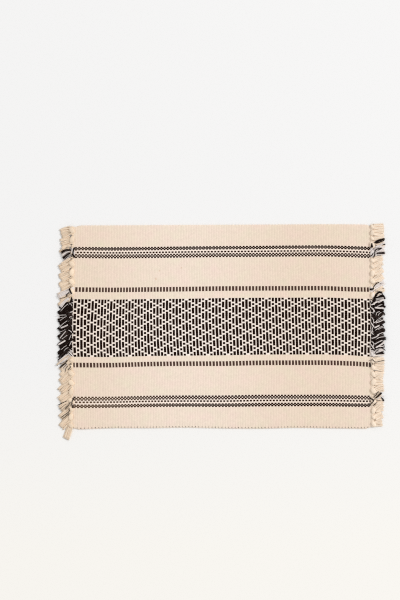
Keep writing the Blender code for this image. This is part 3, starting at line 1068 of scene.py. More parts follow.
@dataclass(frozen=True)
class Tuft:
    """How the loose ends of a tassel lie, in two layers. Millimetres."""

    start: float = 1.4  # how far beyond the knot's middle they come out
    trim: tuple[float, float] = (-0.9, 0.7)  # least and most that an end is longer than the tassel
    shuffle: float = 1.4  # how many places a yarn may stray in their order
    root: tuple[float, float] = (0.066, 0.042)  # lower and upper yarns' spacing there, over the breadth
    fan: float = 1.05  # breadth at the tips, over the tassel's own
    least_cos: float = 0.8  # cosine below which a leaning tassel gets no narrower
    spread: tuple[float, float] = (0.15, 0.8)  # how far along its ease the fan starts, and the ease's power
    curl: float = 0.6
    sway: float = 1.0
    bends: tuple[float, float] = (3.0, 7.0)  # radians of curl from root to tip, least and most
    thick: tuple[float, float] = (-0.12, 0.1)  # least and most that a yarn's radius differs
    layer: float = 1.25  # how much higher the upper layer lies
    sink: float = 0.55  # share of it that is lost at the tips
    out_at: tuple[float, float] = (2.0, 3.6)  # heights at which the lower and upper yarns come out
    out_by: float = 0.4  # how much those differ
    down_by: float = 0.42  # share of the way at which they lie on the table
    taper: tuple[float, float] = (0.97, 0.62)  # the last two rings' size
    steps: int = 10


@dataclass(frozen=True)
class TopLayer:
    """How high the charted ends lie over the rest, by how far out from the knots' middle. Millimetres."""

    over_tip: float = 2.7
    over_knot: float = 6.2
    over_gather: float = 4.4
    fall: tuple[float, float] = (-1.0, 13.0)  # where they start to come down to the tips, and over how far
    inner_fall: tuple[float, float] = (-1.5, 3.5)  # the same towards the cloth, inwards
    stack: float = 0.15  # how far a lock lies over the one before it, in fours
    jitter: float = 0.15
    taper: tuple[float, float, float] = (0.7, 0.95, 0.6)  # size of the first ring and the last two
    steps: int = 12


@dataclass
class Fringe:
    """The knotted warp ends at one end of the mat. Sizes in millimetres."""

    side: Side
    stretches: tuple[Stretch, ...]
    locks: tuple[Lock, ...]
    cloth: Cloth
    seed: int
    knots_at: tuple[float, float]  # from the mat's middle, at its upper and lower edge
    overlap: float  # how far the gathers lie over the cloth's end
    band_black: float  # share of black in the lozenge band's tufts
    knot_black: float  # the same in its knots
    gather_black: float = 0.85
    painted_shade: float = 0.0  # painted shade: how much darker its pale yarns are painted, in shades, as this end lies in shade
    lint_to: float = -55.0  # warp place below which the pale yarns stayed clean
    longest: float = 23.4  # from knot to tip
    yarns: int = 14
    yarn: float = 1.04  # radius
    yarn_sides: int = 5
    gather: Gather = Gather()
    knot: Knot = Knot()
    tuft: Tuft = Tuft()
    top: TopLayer = TopLayer()

    def __post_init__(self) -> None:
        """Lists the tassels from the stretches: middle, breadth, lean and tip, and each yarn's place."""
        edges, leans, tips, dark, out = [], [], [], [], []
        for s in self.stretches:
            n = len(s.edges) - 1
            edges += [(s.edges[k], s.edges[k + 1]) for k in range(n)]
            leans += list(np.linspace(s.lean_top, s.lean_bottom, 2 * n + 1)[1::2])
            tips += [s.tip] * n
            dark += [s.dark] * n
            out += [s.out] * n
        pairs = np.array(edges)
        self.middle = pairs.mean(axis=1)
        self.breadth = pairs[:, 0] - pairs[:, 1]
        self.lean = np.radians(leans)
        self.tip = np.array(tips)
        self.dark = np.array(dark)
        down = 0.5 - self.middle / self.cloth.width
        self.knot_at = self.knots_at[0] + (self.knots_at[1] - self.knots_at[0]) * down + np.array(out)
        self.rng = np.random.default_rng(self.seed)
        share = (np.arange(self.yarns) + 0.5) / self.yarns
        self.place = self.middle[:, None] + (0.5 - share) * self.breadth[:, None]
        self.zone = self.cloth.chart.zone(self.place)

    def dye(self, black: float) -> np.ndarray:
        """Which kind each yarn is, tassel by yarn: golden-ratio steps spread the black ones evenly.

        Args:
            black: Share of black yarns that show in the lozenge band's tassels.

        Returns:
            Kinds of yarn.
        """
        share = np.where(self.zone == Zone.BAND, black, 0.0) * self.dark[:, None]
        order = (np.arange(self.place.size) * GOLDEN).reshape(self.place.shape) % 1.0
        linted = (self.zone != Zone.GROUND) & (self.place > self.lint_to)
        pale = np.where(linted, Yarn.LINTED, Yarn.UNDYED)
        return np.where(order < share, Yarn.BLACK, pale)

    def outward(self, angle: np.ndarray) -> np.ndarray:
        """Unit vectors away from the cloth, turned by angle: upwards on the right, downwards on the left."""
        sign = self.side.value
        return np.stack([sign * np.cos(angle), sign * np.sin(angle), np.zeros_like(angle)], -1)

    def knots_middle(self) -> np.ndarray:
        """XYZ of each knot's middle, in millimetres."""
        x = self.side.value * self.knot_at
        return np.stack([x, self.middle, np.full_like(x, self.knot.middle)], -1)

    def yarn_tubes(self, surface: Surface, paths: np.ndarray, size: np.ndarray, kinds: np.ndarray) -> None:
        """Adds round yarns.

        Args:
            surface: What they are added to.
            paths: Yarn, ring, XYZ, in millimetres.
            size: Radius, yarn by ring, in millimetres.
            kinds: Each yarn's kind.
        """
        points = sweep(paths * MM, size * MM, size * MM, self.yarn_sides, np.array([0.0, 0.0, 1.0]))
        finish = np.repeat(kinds.reshape(-1, 1), self.yarn_sides, axis=1)
        # Painted shade: the pale yarns of an end that lies in shade are made darker
        shade = self.rng.uniform(-1, 1, len(paths)) - self.painted_shade * (kinds.ravel() != Yarn.BLACK)
        surface.tubes(points, run_length(paths * MM), finish, shade)

    def build_gathers(self, surface: Surface) -> None:
        """Adds the warp yarns between the cloth and the knots, where they close in on each other.

        Args:
            surface: What they are added to.
        """
        sign, gather = self.side.value, self.gather
        t = np.linspace(0.0, 1.0, gather.steps)
        n, k = self.place.shape
        end_x, end_y = (xy.reshape(n, k) for xy in self.cloth.end(self.side, self.place.ravel()))
        start_x = end_x - sign * self.overlap
        knot = self.knots_middle()
        nest = (0.5 * (k - 1) - np.arange(k)) * gather.nest / k * self.breadth[:, None]
        bump = self.rng.uniform(*gather.bump, (n, k))
        x = start_x[..., None] + (knot[:, :1] + sign * gather.past - start_x)[..., None] * t
        y = end_y[..., None] + (knot[:, 1:2] + nest - end_y)[..., None] * t**gather.close
        z = gather.rise + (gather.top - gather.rise) * ease(2.0 * t) + bump[..., None] * np.sin(math.pi * t)
        paths = np.stack([x, y, z], -1).reshape(n * k, gather.steps, 3)
        self.yarn_tubes(surface, paths, np.full(paths.shape[:2], self.yarn), self.dye(self.gather_black))

    def build_knots(self, surface: Surface) -> None:
        """Adds the overhand knots, each a lobed bundle that goes once round, on a slanting ellipse.

        The middle line is at knot + across cos(a) s + up sin(a) z + advance a along, with a from under the
        knot and a little over one turn, s across the tassel and along its own direction. The bundle's half
        breadth is 1 less the pinch times cos(a) squared of its full one, which rounds the knot from above.

        Args:
            surface: What they are added to.
        """
        k = self.knot
        n = len(self.middle)
        turned = np.where(np.arange(n) % k.other_way == 1, -1.0, 1.0)
        along = self.outward(self.lean * k.follow + turned * math.radians(k.slant))
        across = np.stack([-along[:, 1], along[:, 0], np.zeros(n)], -1)
        a = np.radians(np.linspace(*k.turn, k.steps))
        grow = np.clip(self.breadth / k.plain, *k.growth)
        wide, high = k.ring
        ring = (wide * grow)[:, None, None] * np.cos(a)[:, None] * across[:, None, :]
        ring = ring + high * np.sin(a)[:, None] * np.array([0.0, 0.0, 1.0])
        ring = ring + ((a - a.mean()) * k.advance)[:, None] * along[:, None, :]
        paths = (self.knots_middle()[:, None, :] + ring) * MM
        out, down = k.bundle
        size_out = np.full(paths.shape[:2], out * MM)
        size_along = (down * grow * MM)[:, None] * (1.0 - k.pinch * np.cos(a) ** 2)
        points = sweep(paths, size_out, size_along, k.sides, along[:, None, :], lobes=k.lobes)
        kinds = self.dye(self.knot_black)[:, : k.sides]
        surface.tubes(points, run_length(paths), kinds, self.rng.uniform(-1, 1, n))

    def build_tufts(self, surface: Surface) -> None:
        """Adds the loose ends: each fans out from the knot, comes down on the table and curls a little.

        A point is root + length t along + (fan ease(t) + curl sin(bends t) t + sway t squared) across; the
        height comes down to the yarn's own radius, or a second layer's, by two fifths of the way.

        Args:
            surface: What they are added to.
        """
        tuft, rng = self.tuft, self.rng
        n, k = self.place.shape
        t = np.linspace(0.0, 1.0, tuft.steps)
        along = self.outward(self.lean)
        across = np.stack([-along[:, 1], along[:, 0], np.zeros(n)], -1)
        knot = self.knots_middle()
        cos = np.cos(self.lean)
        reach = np.minimum((self.tip - self.knot_at) / cos, self.longest)
        length = (reach - tuft.start)[:, None] + rng.uniform(*tuft.trim, (n, k))
        strayed = np.arange(k) + rng.uniform(-tuft.shuffle, tuft.shuffle, (n, k))
        order = self.side.value * (0.5 * (k - 1) - np.argsort(np.argsort(strayed, axis=1), axis=1))
        fan = order * (self.breadth * np.maximum(cos, tuft.least_cos))[:, None] / k * tuft.fan
        upper = np.arange(k) % 2
        root = order * np.array(tuft.root)[upper] * self.breadth[:, None]
        curl = rng.uniform(-tuft.curl, tuft.curl, (n, k))[..., None]
        sway = rng.uniform(-tuft.sway, tuft.sway, (n, k))[..., None]
        bends = rng.uniform(*tuft.bends, (n, k))[..., None]
        start, power = tuft.spread
        spread = ease(start + (1.0 - start) * t) ** power
        offset = root[..., None] + (fan - root)[..., None] * spread
        offset = offset + curl * np.sin(bends * t) * t + sway * t * t
        size = self.yarn * (1.0 + rng.uniform(*tuft.thick, (n, k)))
        floor_z = size[..., None] + (tuft.layer * upper)[:, None] * (1.0 - tuft.sink * t**2)
        start_z = np.array(tuft.out_at)[upper] + rng.uniform(-tuft.out_by, tuft.out_by, (n, k))
        z = floor_z + (start_z[..., None] - floor_z) * (1.0 - ease(t / tuft.down_by))
        ahead = (tuft.start + length[..., None] * t)[..., None]
        flat = knot[:, None, None, :2] + along[:, None, None, :2] * ahead
        flat = flat + across[:, None, None, :2] * offset[..., None]
        paths = np.concatenate([flat, z[..., None]], -1).reshape(n * k, tuft.steps, 3)
        taper = np.array([1.0] * (tuft.steps - 2) + list(tuft.taper))
        self.yarn_tubes(surface, paths, size.reshape(-1, 1) * taper, self.dye(self.band_black))

    def build_locks(self, surface: Surface) -> None:
        """Adds the charted ends, over the tufts: smooth lines through their points, side by side.

        They are highest over the knots, and eased down towards the gathers and towards the tips.

        Args:
            surface: What they are added to.
        """
        top = self.top
        t = np.linspace(0.0, 1.0, top.steps)
        paths, sizes, kinds = [], [], []
        for count, lock in enumerate(self.locks):
            chart = np.array(lock.line)
            run = np.concatenate([[0.0], np.cumsum(np.linalg.norm(np.diff(chart, axis=0), axis=1))])
            line = through(t * run[-1], run, chart)
            ahead = unit(np.gradient(line, axis=0))
            beside = np.stack([-ahead[:, 1], ahead[:, 0]], -1)
            gap = lock.gaps[0] + (lock.gaps[1] - lock.gaps[0]) * t
            order = np.arange(lock.ends) - 0.5 * (lock.ends - 1)
            flat = line + (order[:, None] * gap)[..., None] * beside
            knot_at = np.interp(-flat[..., 1], -self.middle, self.knot_at)
            out = self.side.value * flat[..., 0] - knot_at
            fallen = ease((out - top.fall[0]) / top.fall[1])
            fallen_in = ease((top.inner_fall[0] - out) / top.inner_fall[1])
            z = top.over_tip + (top.over_knot - top.over_tip) * (1.0 - fallen)
            z = z - (top.over_knot - top.over_gather) * fallen_in
            z = z + top.stack * (count % 4) + self.rng.uniform(-top.jitter, top.jitter, (lock.ends, 1))
            paths.append(np.concatenate([flat, z[..., None]], -1))
            sizes += [lock.radius] * lock.ends
            kinds += [lock.yarn] * lock.ends
        first, *last = top.taper
        taper = np.array([first] + [1.0] * (top.steps - 3) + last)
        self.yarn_tubes(surface, np.concatenate(paths), np.array(sizes)[:, None] * taper, np.array(kinds))

    def build(self, materials: list[bpy.types.Material]) -> list[bpy.types.Object]:
        """Makes the fringe's three pieces.

        Args:
            materials: One for each kind of yarn, in their order.

        Returns:
            Gathers, knots and tufts.
        """
        parts = {
            "gathers": (self.build_gathers,),
            "knots": (self.build_knots,),
            "tufts": (self.build_tufts, self.build_locks),
        }
        made = []
        for part, fills in parts.items():
            surface = Surface()
            for fill in fills:
                fill(surface)
            made.append(surface.piece(f"{part}_{self.side.name.lower()}", "yarn", materials))
        return made

    def dress(self, pieces: list[bpy.types.Object]) -> None:
        """Puts the pieces in the frame, where they stand for this end's CAD fringe.

        Args:
            pieces: Gathers, knots and tufts.
        """
        for piece in pieces:
            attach(piece, "root")
            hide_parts(f"fringe_{self.side.name.lower()}")


# ---------------------------------------------------------------- studio


@dataclass
class Studio:
    """Floor, soft light and a camera straight above, on a long lens. Metres."""

    view_height: float = 0.976  # what the picture's long side takes in
    aim: tuple[float, float] = (-0.0358, 0.0441)
    lens: float = 100.0  # mm
    sensor: float = 36.0
    pixel_filter: float = 1.2  # pixels
    sky: float = 0.71
    key_power: float = 1160.0
    key_at: tuple[float, float, float] = (10.8, 5.0, 10.8)
    key_size: float = 5.2
    sky_colour: tuple[float, float, float, float] = (1.0, 0.995, 0.985, 1.0)
    floor_reach: float = 3.0  # from the origin
    floor_points: int = 9  # along each side
    clip: tuple[float, float] = (0.05, 20.0)

    def build_floor(self, material: bpy.types.Material) -> bpy.types.Object:
        """Makes the floor: a square grid of points, level at the mat's underside.

        Args:
            material: Its finish.

        Returns:
            The object.
        """
        span = np.linspace(-self.floor_reach, self.floor_reach, self.floor_points)
        x, y = np.meshgrid(span, span, indexing="ij")
        points = np.stack([x, y, np.zeros_like(x)], -1)
        index = np.arange(x.size).reshape(x.shape)
        quads = np.stack([index[:-1, :-1], index[1:, :-1], index[1:, 1:], index[:-1, 1:]], -1).reshape(-1, 4)
        mesh = bpy.data.meshes.new("floor")
        mesh.from_pydata(points.reshape(-1, 3).tolist(), [], quads.tolist())
        mesh.materials.append(material)
        floor = bpy.data.objects.new("floor", mesh)
        bpy.context.scene.collection.objects.link(floor)
        return floor

    def build_light(self) -> None:
        """Lights the mat from above right with a large soft panel, and evenly from all round."""
        world = bpy.data.worlds.new("studio_sky")
        world.use_nodes = True
        background = world.node_tree.nodes["Background"]
        background.inputs["Color"].default_value = self.sky_colour
        background.inputs["Strength"].default_value = self.sky
        bpy.context.scene.world = world
        data = bpy.data.lights.new("key_panel", "AREA")
        data.shape = "SQUARE"
        data.size = self.key_size
        data.energy = self.key_power
        panel = bpy.data.objects.new("key_panel", data)
        panel.location = self.key_at
        x, y, z = self.key_at
        panel.rotation_euler = (0.0, math.atan2(math.hypot(x, y), z), math.atan2(y, x))
        bpy.context.scene.collection.objects.link(panel)

    def build_camera(self) -> None:
        """Hangs the camera above its aim, so that the long side takes in the view height."""
        data = bpy.data.cameras.new("camera")
        data.lens = self.lens
        data.sensor_width = self.sensor
        camera = bpy.data.objects.new("camera", data)
        camera.location = (*self.aim, self.view_height * self.lens / self.sensor)
        data.clip_start, data.clip_end = self.clip
        bpy.context.scene.collection.objects.link(camera)
        bpy.context.scene.camera = camera
        bpy.context.scene.view_settings.view_transform = "Standard"
        # Floats are one or two pixels wide here: a denoiser or a wide filter would wash them into grey
        bpy.context.scene.cycles.use_denoising = False
        bpy.context.scene.cycles.filter_width = self.pixel_filter


def even(top: float, bottom: float, count: int) -> tuple[float, ...]:
    """Edges of a number of equal tassels between two warp places."""
    return tuple(float(e) for e in np.linspace(top, bottom, count + 1))


RIGHT_STRETCHES = (
    Stretch((167.4, 158.8, 147.4, 140.6), -2.0, 6.0, 263.0),
    Stretch((140.6, 126.3, 113.2), 11.0, 15.0, 263.8),
    Stretch((113.2, 103.5, 93.7, 80.7, 68.5), 18.0, 34.0, 260.6),
    Stretch((68.5, 57.9), 34.0, 34.0, 262.0),
    Stretch((57.9, 46.0), 34.0, 33.0, 262.8),
    Stretch(even(46.0, -37.6, 7), 32.0, 14.0, 263.2),
    Stretch((-37.6, -49.5), 12.0, 12.0, 263.2, 0.35),
    Stretch((-49.5, -60.0, -70.6), 4.0, -6.0, 263.6),
    Stretch((-70.6, -82.0, -96.6, -110.5), -20.0, 32.0, 261.8),
    Stretch((-110.5, -129.2), 17.0, 17.0, 260.8),
    Stretch((-129.2, -142.2, -151.1, -163.4), 45.0, 5.0, 260.0),
)
LEFT_STRETCHES = (
    Stretch((165.3, 149.0, 134.1), 14.0, 20.0, 261.8),
    Stretch((134.1, 110.3), 24.0, 24.0, 260.6),
    Stretch((110.3, 96.0, 81.3, 66.0), 26.0, 24.0, 263.4),
    Stretch((66.0, 49.8), 25.0, 25.0, 265.4),
    Stretch(even(49.8, -37.1, 7), 28.0, 38.5, 265.0, out=1.7),
    Stretch((-37.1, -49.5), 40.0, 40.0, 264.6, 0.45, out=1.0),
    Stretch((-49.5, -58.5, -67.4), 42.0, 44.0, 264.6),
    Stretch((-67.4, -82.0, -98.3, -112.9), 46.0, 34.0, 265.0),
    Stretch((-112.9, -126.7, -138.5), 36.0, 40.0, 263.0),
    Stretch((-138.5, -153.6), 46.0, 46.0, 262.4),
    Stretch((-153.6, -165.5), 71.0, 71.0, 257.9),
)
RIGHT_LOCKS = (
    Lock(Yarn.BLACK, 0.8, ((243.1, 136.2), (243.2, 132.9), (243.4, 129.2)), 3, (0.2, 1.4)),
    Lock(Yarn.BLACK, 0.6, ((238.2, 126.7), (240.1, 128.9), (242.4, 129.7))),
    Lock(Yarn.BLACK, 0.85, ((247.6, 137.5), (253.0, 140.7), (258.7, 142.4), (264.6, 143.3)), 2, (0.9, 1.7)),
    Lock(Yarn.BLACK, 0.85, ((248.3, 136.7), (253.8, 137.2), (259.5, 139.4), (263.9, 141.4))),
    Lock(Yarn.BLACK, 0.8, ((249.3, 137.6), (254.5, 138.9), (259.7, 140.7))),
    Lock(Yarn.BLACK, 1.05, ((259.3, 133.7), (261.9, 134.2), (265.5, 134.6))),
    Lock(Yarn.BLACK, 0.5, ((248.1, 133.9), (252.2, 131.9), (256.7, 130.8))),
    Lock(Yarn.LINTED, 0.85, ((248.9, 130.0), (255.4, 132.3), (263.2, 137.2)), 2, (1.2, 1.7)),
    Lock(Yarn.BLACK, 0.8, ((240.1, 114.9), (243.4, 117.0), (245.7, 121.0))),
    Lock(Yarn.BLACK, 1.0, ((245.4, 113.1), (247.8, 116.3), (248.0, 121.5), (249.3, 125.1), (252.0, 127.2),
                           (256.1, 127.9), (260.2, 128.4))),
    Lock(Yarn.BLACK, 0.75, ((253.2, 124.6), (255.4, 125.9), (257.7, 127.1))),
    Lock(Yarn.BLACK, 1.0, ((251.2, 120.1), (257.1, 120.4), (264.7, 120.7)), 2, (0.5, 2.0)),
    Lock(Yarn.BLACK, 0.4, ((252.2, 116.3), (258.7, 116.8))),
    Lock(Yarn.LINTED, 0.85, ((251.2, 123.2), (257.1, 124.0), (264.1, 124.8))),
    Lock(Yarn.BLACK, 0.85, ((239.8, 61.5), (243.4, 61.7), (246.7, 63.0)), 2, (1.3, 1.1)),
    Lock(Yarn.BLACK, 0.7, ((245.5, 64.3), (249.3, 69.6), (252.0, 71.8), (255.3, 72.9))),
    Lock(Yarn.BLACK, 0.4, ((256.1, 69.8), (259.0, 71.8))),
    Lock(Yarn.BLACK, 0.4, ((260.3, 62.3), (263.2, 63.5))),
    Lock(Yarn.BLACK, 0.4, ((248.8, 59.1), (251.5, 58.7), (254.1, 58.4))),
    Lock(Yarn.BLACK, 0.95, ((243.6, 38.7), (246.3, 43.8), (248.3, 48.8), (251.0, 53.2), (254.8, 56.8),
                            (260.3, 56.3)), 2, (1.3, 1.6)),
    Lock(Yarn.LINTED, 0.6, ((251.2, 49.3), (255.4, 51.9), (260.2, 54.2))),
    Lock(Yarn.BLACK, 0.8, ((252.5, 48.2), (257.9, 50.1), (263.2, 51.4)), 2, (0.3, 1.4)),
    Lock(Yarn.LINTED, 0.36, ((249.6, 44.7), (255.1, 45.7), (262.9, 47.0)), 3, (1.3, 1.4)),
    Lock(Yarn.LINTED, 0.65, ((242.1, 36.3), (246.3, 37.9), (249.6, 40.5), (252.8, 41.5)), 2, (0.6, 1.4)),
    Lock(Yarn.LINTED, 0.65, ((253.2, 39.2), (257.4, 41.0), (262.6, 44.6))),
    Lock(Yarn.BLACK, 0.9, ((248.6, 35.6), (257.1, 38.6), (263.6, 40.7)), 3, (0.5, 1.7)),
    Lock(Yarn.LINTED, 0.55, ((248.0, 31.9), (255.4, 31.1), (263.4, 31.2)), 3, (0.7, 0.9)),
    Lock(Yarn.BLACK, 0.6, ((262.3, 31.7), (263.9, 31.9), (265.5, 32.1))),
    Lock(Yarn.BLACK, 0.8, ((248.9, 24.2), (254.5, 27.2), (263.2, 28.0)), 2, (0.7, 1.3)),
    Lock(Yarn.LINTED, 0.5, ((249.9, 19.0), (251.5, 23.6), (256.4, 25.4))),
    Lock(Yarn.LINTED, 0.45, ((253.5, 18.4), (255.4, 22.0), (259.0, 24.2))),
    Lock(Yarn.BLACK, 0.9, ((248.9, 12.2), (255.4, 17.1), (262.8, 23.3))),
    Lock(Yarn.LINTED, 0.6, ((250.2, 10.4), (257.1, 14.8), (263.1, 20.3))),
    Lock(Yarn.BLACK, 0.8, ((251.9, 10.9), (257.1, 13.2), (261.6, 14.5))),
    Lock(Yarn.LINTED, 0.8, ((249.3, 6.7), (257.1, 9.4), (263.9, 12.9))),
    Lock(Yarn.BLACK, 0.85, ((248.1, 2.4), (257.1, 6.2), (265.0, 8.6)), 2, (0.6, 1.3)),
    Lock(Yarn.LINTED, 0.6, ((247.3, -1.1), (251.4, 0.8), (256.1, 2.9)), 2, (1.0, 1.2)),
    Lock(Yarn.LINTED, 0.5, ((248.6, -5.0), (256.3, -0.5), (261.9, 2.1))),
    Lock(Yarn.LINTED, 0.4, ((253.2, -4.1), (257.9, -1.6), (263.2, 0.2))),
    Lock(Yarn.BLACK, 0.9, ((248.6, -8.3), (257.1, -6.2), (265.2, -4.4)), 2, (1.1, 1.7)),
    Lock(Yarn.LINTED, 0.65, ((251.5, -13.2), (257.1, -10.3), (262.6, -8.3))),
    Lock(Yarn.BLACK, 0.8, ((253.8, -14.6), (258.7, -13.0), (263.6, -11.9))),
    Lock(Yarn.LINTED, 0.75, ((242.4, -18.4), (248.9, -16.4), (255.1, -12.5))),
    Lock(Yarn.LINTED, 0.55, ((249.9, -19.7), (256.3, -16.6), (263.9, -15.5))),
    Lock(Yarn.BLACK, 0.9, ((245.7, -21.2), (257.1, -18.9), (266.8, -18.4)), 3, (0.8, 1.8)),
    Lock(Yarn.LINTED, 0.4, ((248.9, -28.1), (253.8, -24.2), (258.7, -22.9))),
    Lock(Yarn.LINTED, 0.8, ((249.6, -33.4), (256.1, -29.8), (262.6, -24.9), (264.2, -22.6)), 2, (0.9, 1.5)),
    Lock(Yarn.BLACK, 0.85, ((246.3, -39.2), (250.9, -34.3), (257.1, -33.0), (262.3, -35.0), (265.5, -38.1))),
    Lock(Yarn.BLACK, 0.6, ((247.3, -43.4), (251.5, -38.6), (255.4, -36.3))),
    Lock(Yarn.LINTED, 0.6, ((253.2, -39.2), (257.9, -37.6), (262.8, -36.6))),
    Lock(Yarn.BLACK, 0.45, ((253.5, -41.5), (258.7, -41.0), (264.2, -41.7))),
    Lock(Yarn.LINTED, 0.55, ((245.0, 30.8), (246.0, 26.8), (244.7, 22.3))),
    Lock(Yarn.LINTED, 0.55, ((242.3, 16.8), (245.7, 11.6), (246.0, 6.0))),
    Lock(Yarn.LINTED, 0.6, ((245.4, 0.8), (243.4, -3.7), (245.0, -8.6))),
    Lock(Yarn.LINTED, 0.55, ((242.7, -22.9), (246.3, -26.5), (245.0, -32.1))),
    Lock(Yarn.LINTED, 0.5, ((242.1, -37.9), (245.7, -39.5), (247.0, -44.7))),
    Lock(Yarn.BLACK, 0.8, ((240.6, -57.9), (240.8, -61.3), (241.1, -65.2))),
    Lock(Yarn.BLACK, 0.5, ((243.1, -57.8), (244.1, -59.1), (244.5, -61.0))),
    Lock(Yarn.BLACK, 0.55, ((239.2, -54.2), (244.1, -52.6), (248.6, -56.5), (255.4, -55.6), (264.2, -54.0))),
    Lock(Yarn.BLACK, 0.8, ((240.1, -115.7), (243.4, -116.7), (246.5, -118.9)), 2, (0.6, 1.2)),
    Lock(Yarn.BLACK, 0.75, ((239.8, -126.3), (242.9, -123.0), (246.5, -119.6))),
    Lock(Yarn.BLACK, 0.6, ((246.0, -114.4), (249.4, -110.5), (252.5, -106.4), (254.6, -104.3))),
    Lock(Yarn.BLACK, 0.9, ((250.2, -114.7), (255.1, -110.5), (259.3, -106.6)), 2, (0.3, 1.7)),
    Lock(Yarn.BLACK, 0.35, ((246.7, -118.9), (251.5, -113.4), (255.8, -108.8))),
    Lock(Yarn.LINTED, 0.8, ((250.6, -117.0), (257.1, -114.1), (263.6, -111.4))),
    Lock(Yarn.BLACK, 0.45, ((249.9, -119.7), (253.8, -119.4), (257.4, -118.8))),
    Lock(Yarn.BLACK, 0.85, ((259.0, -114.4), (261.1, -116.7), (262.9, -120.2)), 2, (0.2, 1.3)),
    Lock(Yarn.BLACK, 0.55, ((245.0, -128.0), (248.3, -124.5), (251.9, -122.0))),
    Lock(Yarn.UNDYED, 0.9, ((249.9, -137.8), (255.4, -135.9), (262.3, -133.6)), 3, (0.7, 1.6)),
    Lock(Yarn.UNDYED, 0.9, ((249.3, -150.2), (255.4, -147.6), (261.9, -145.6)), 3, (0.7, 1.6)),
)
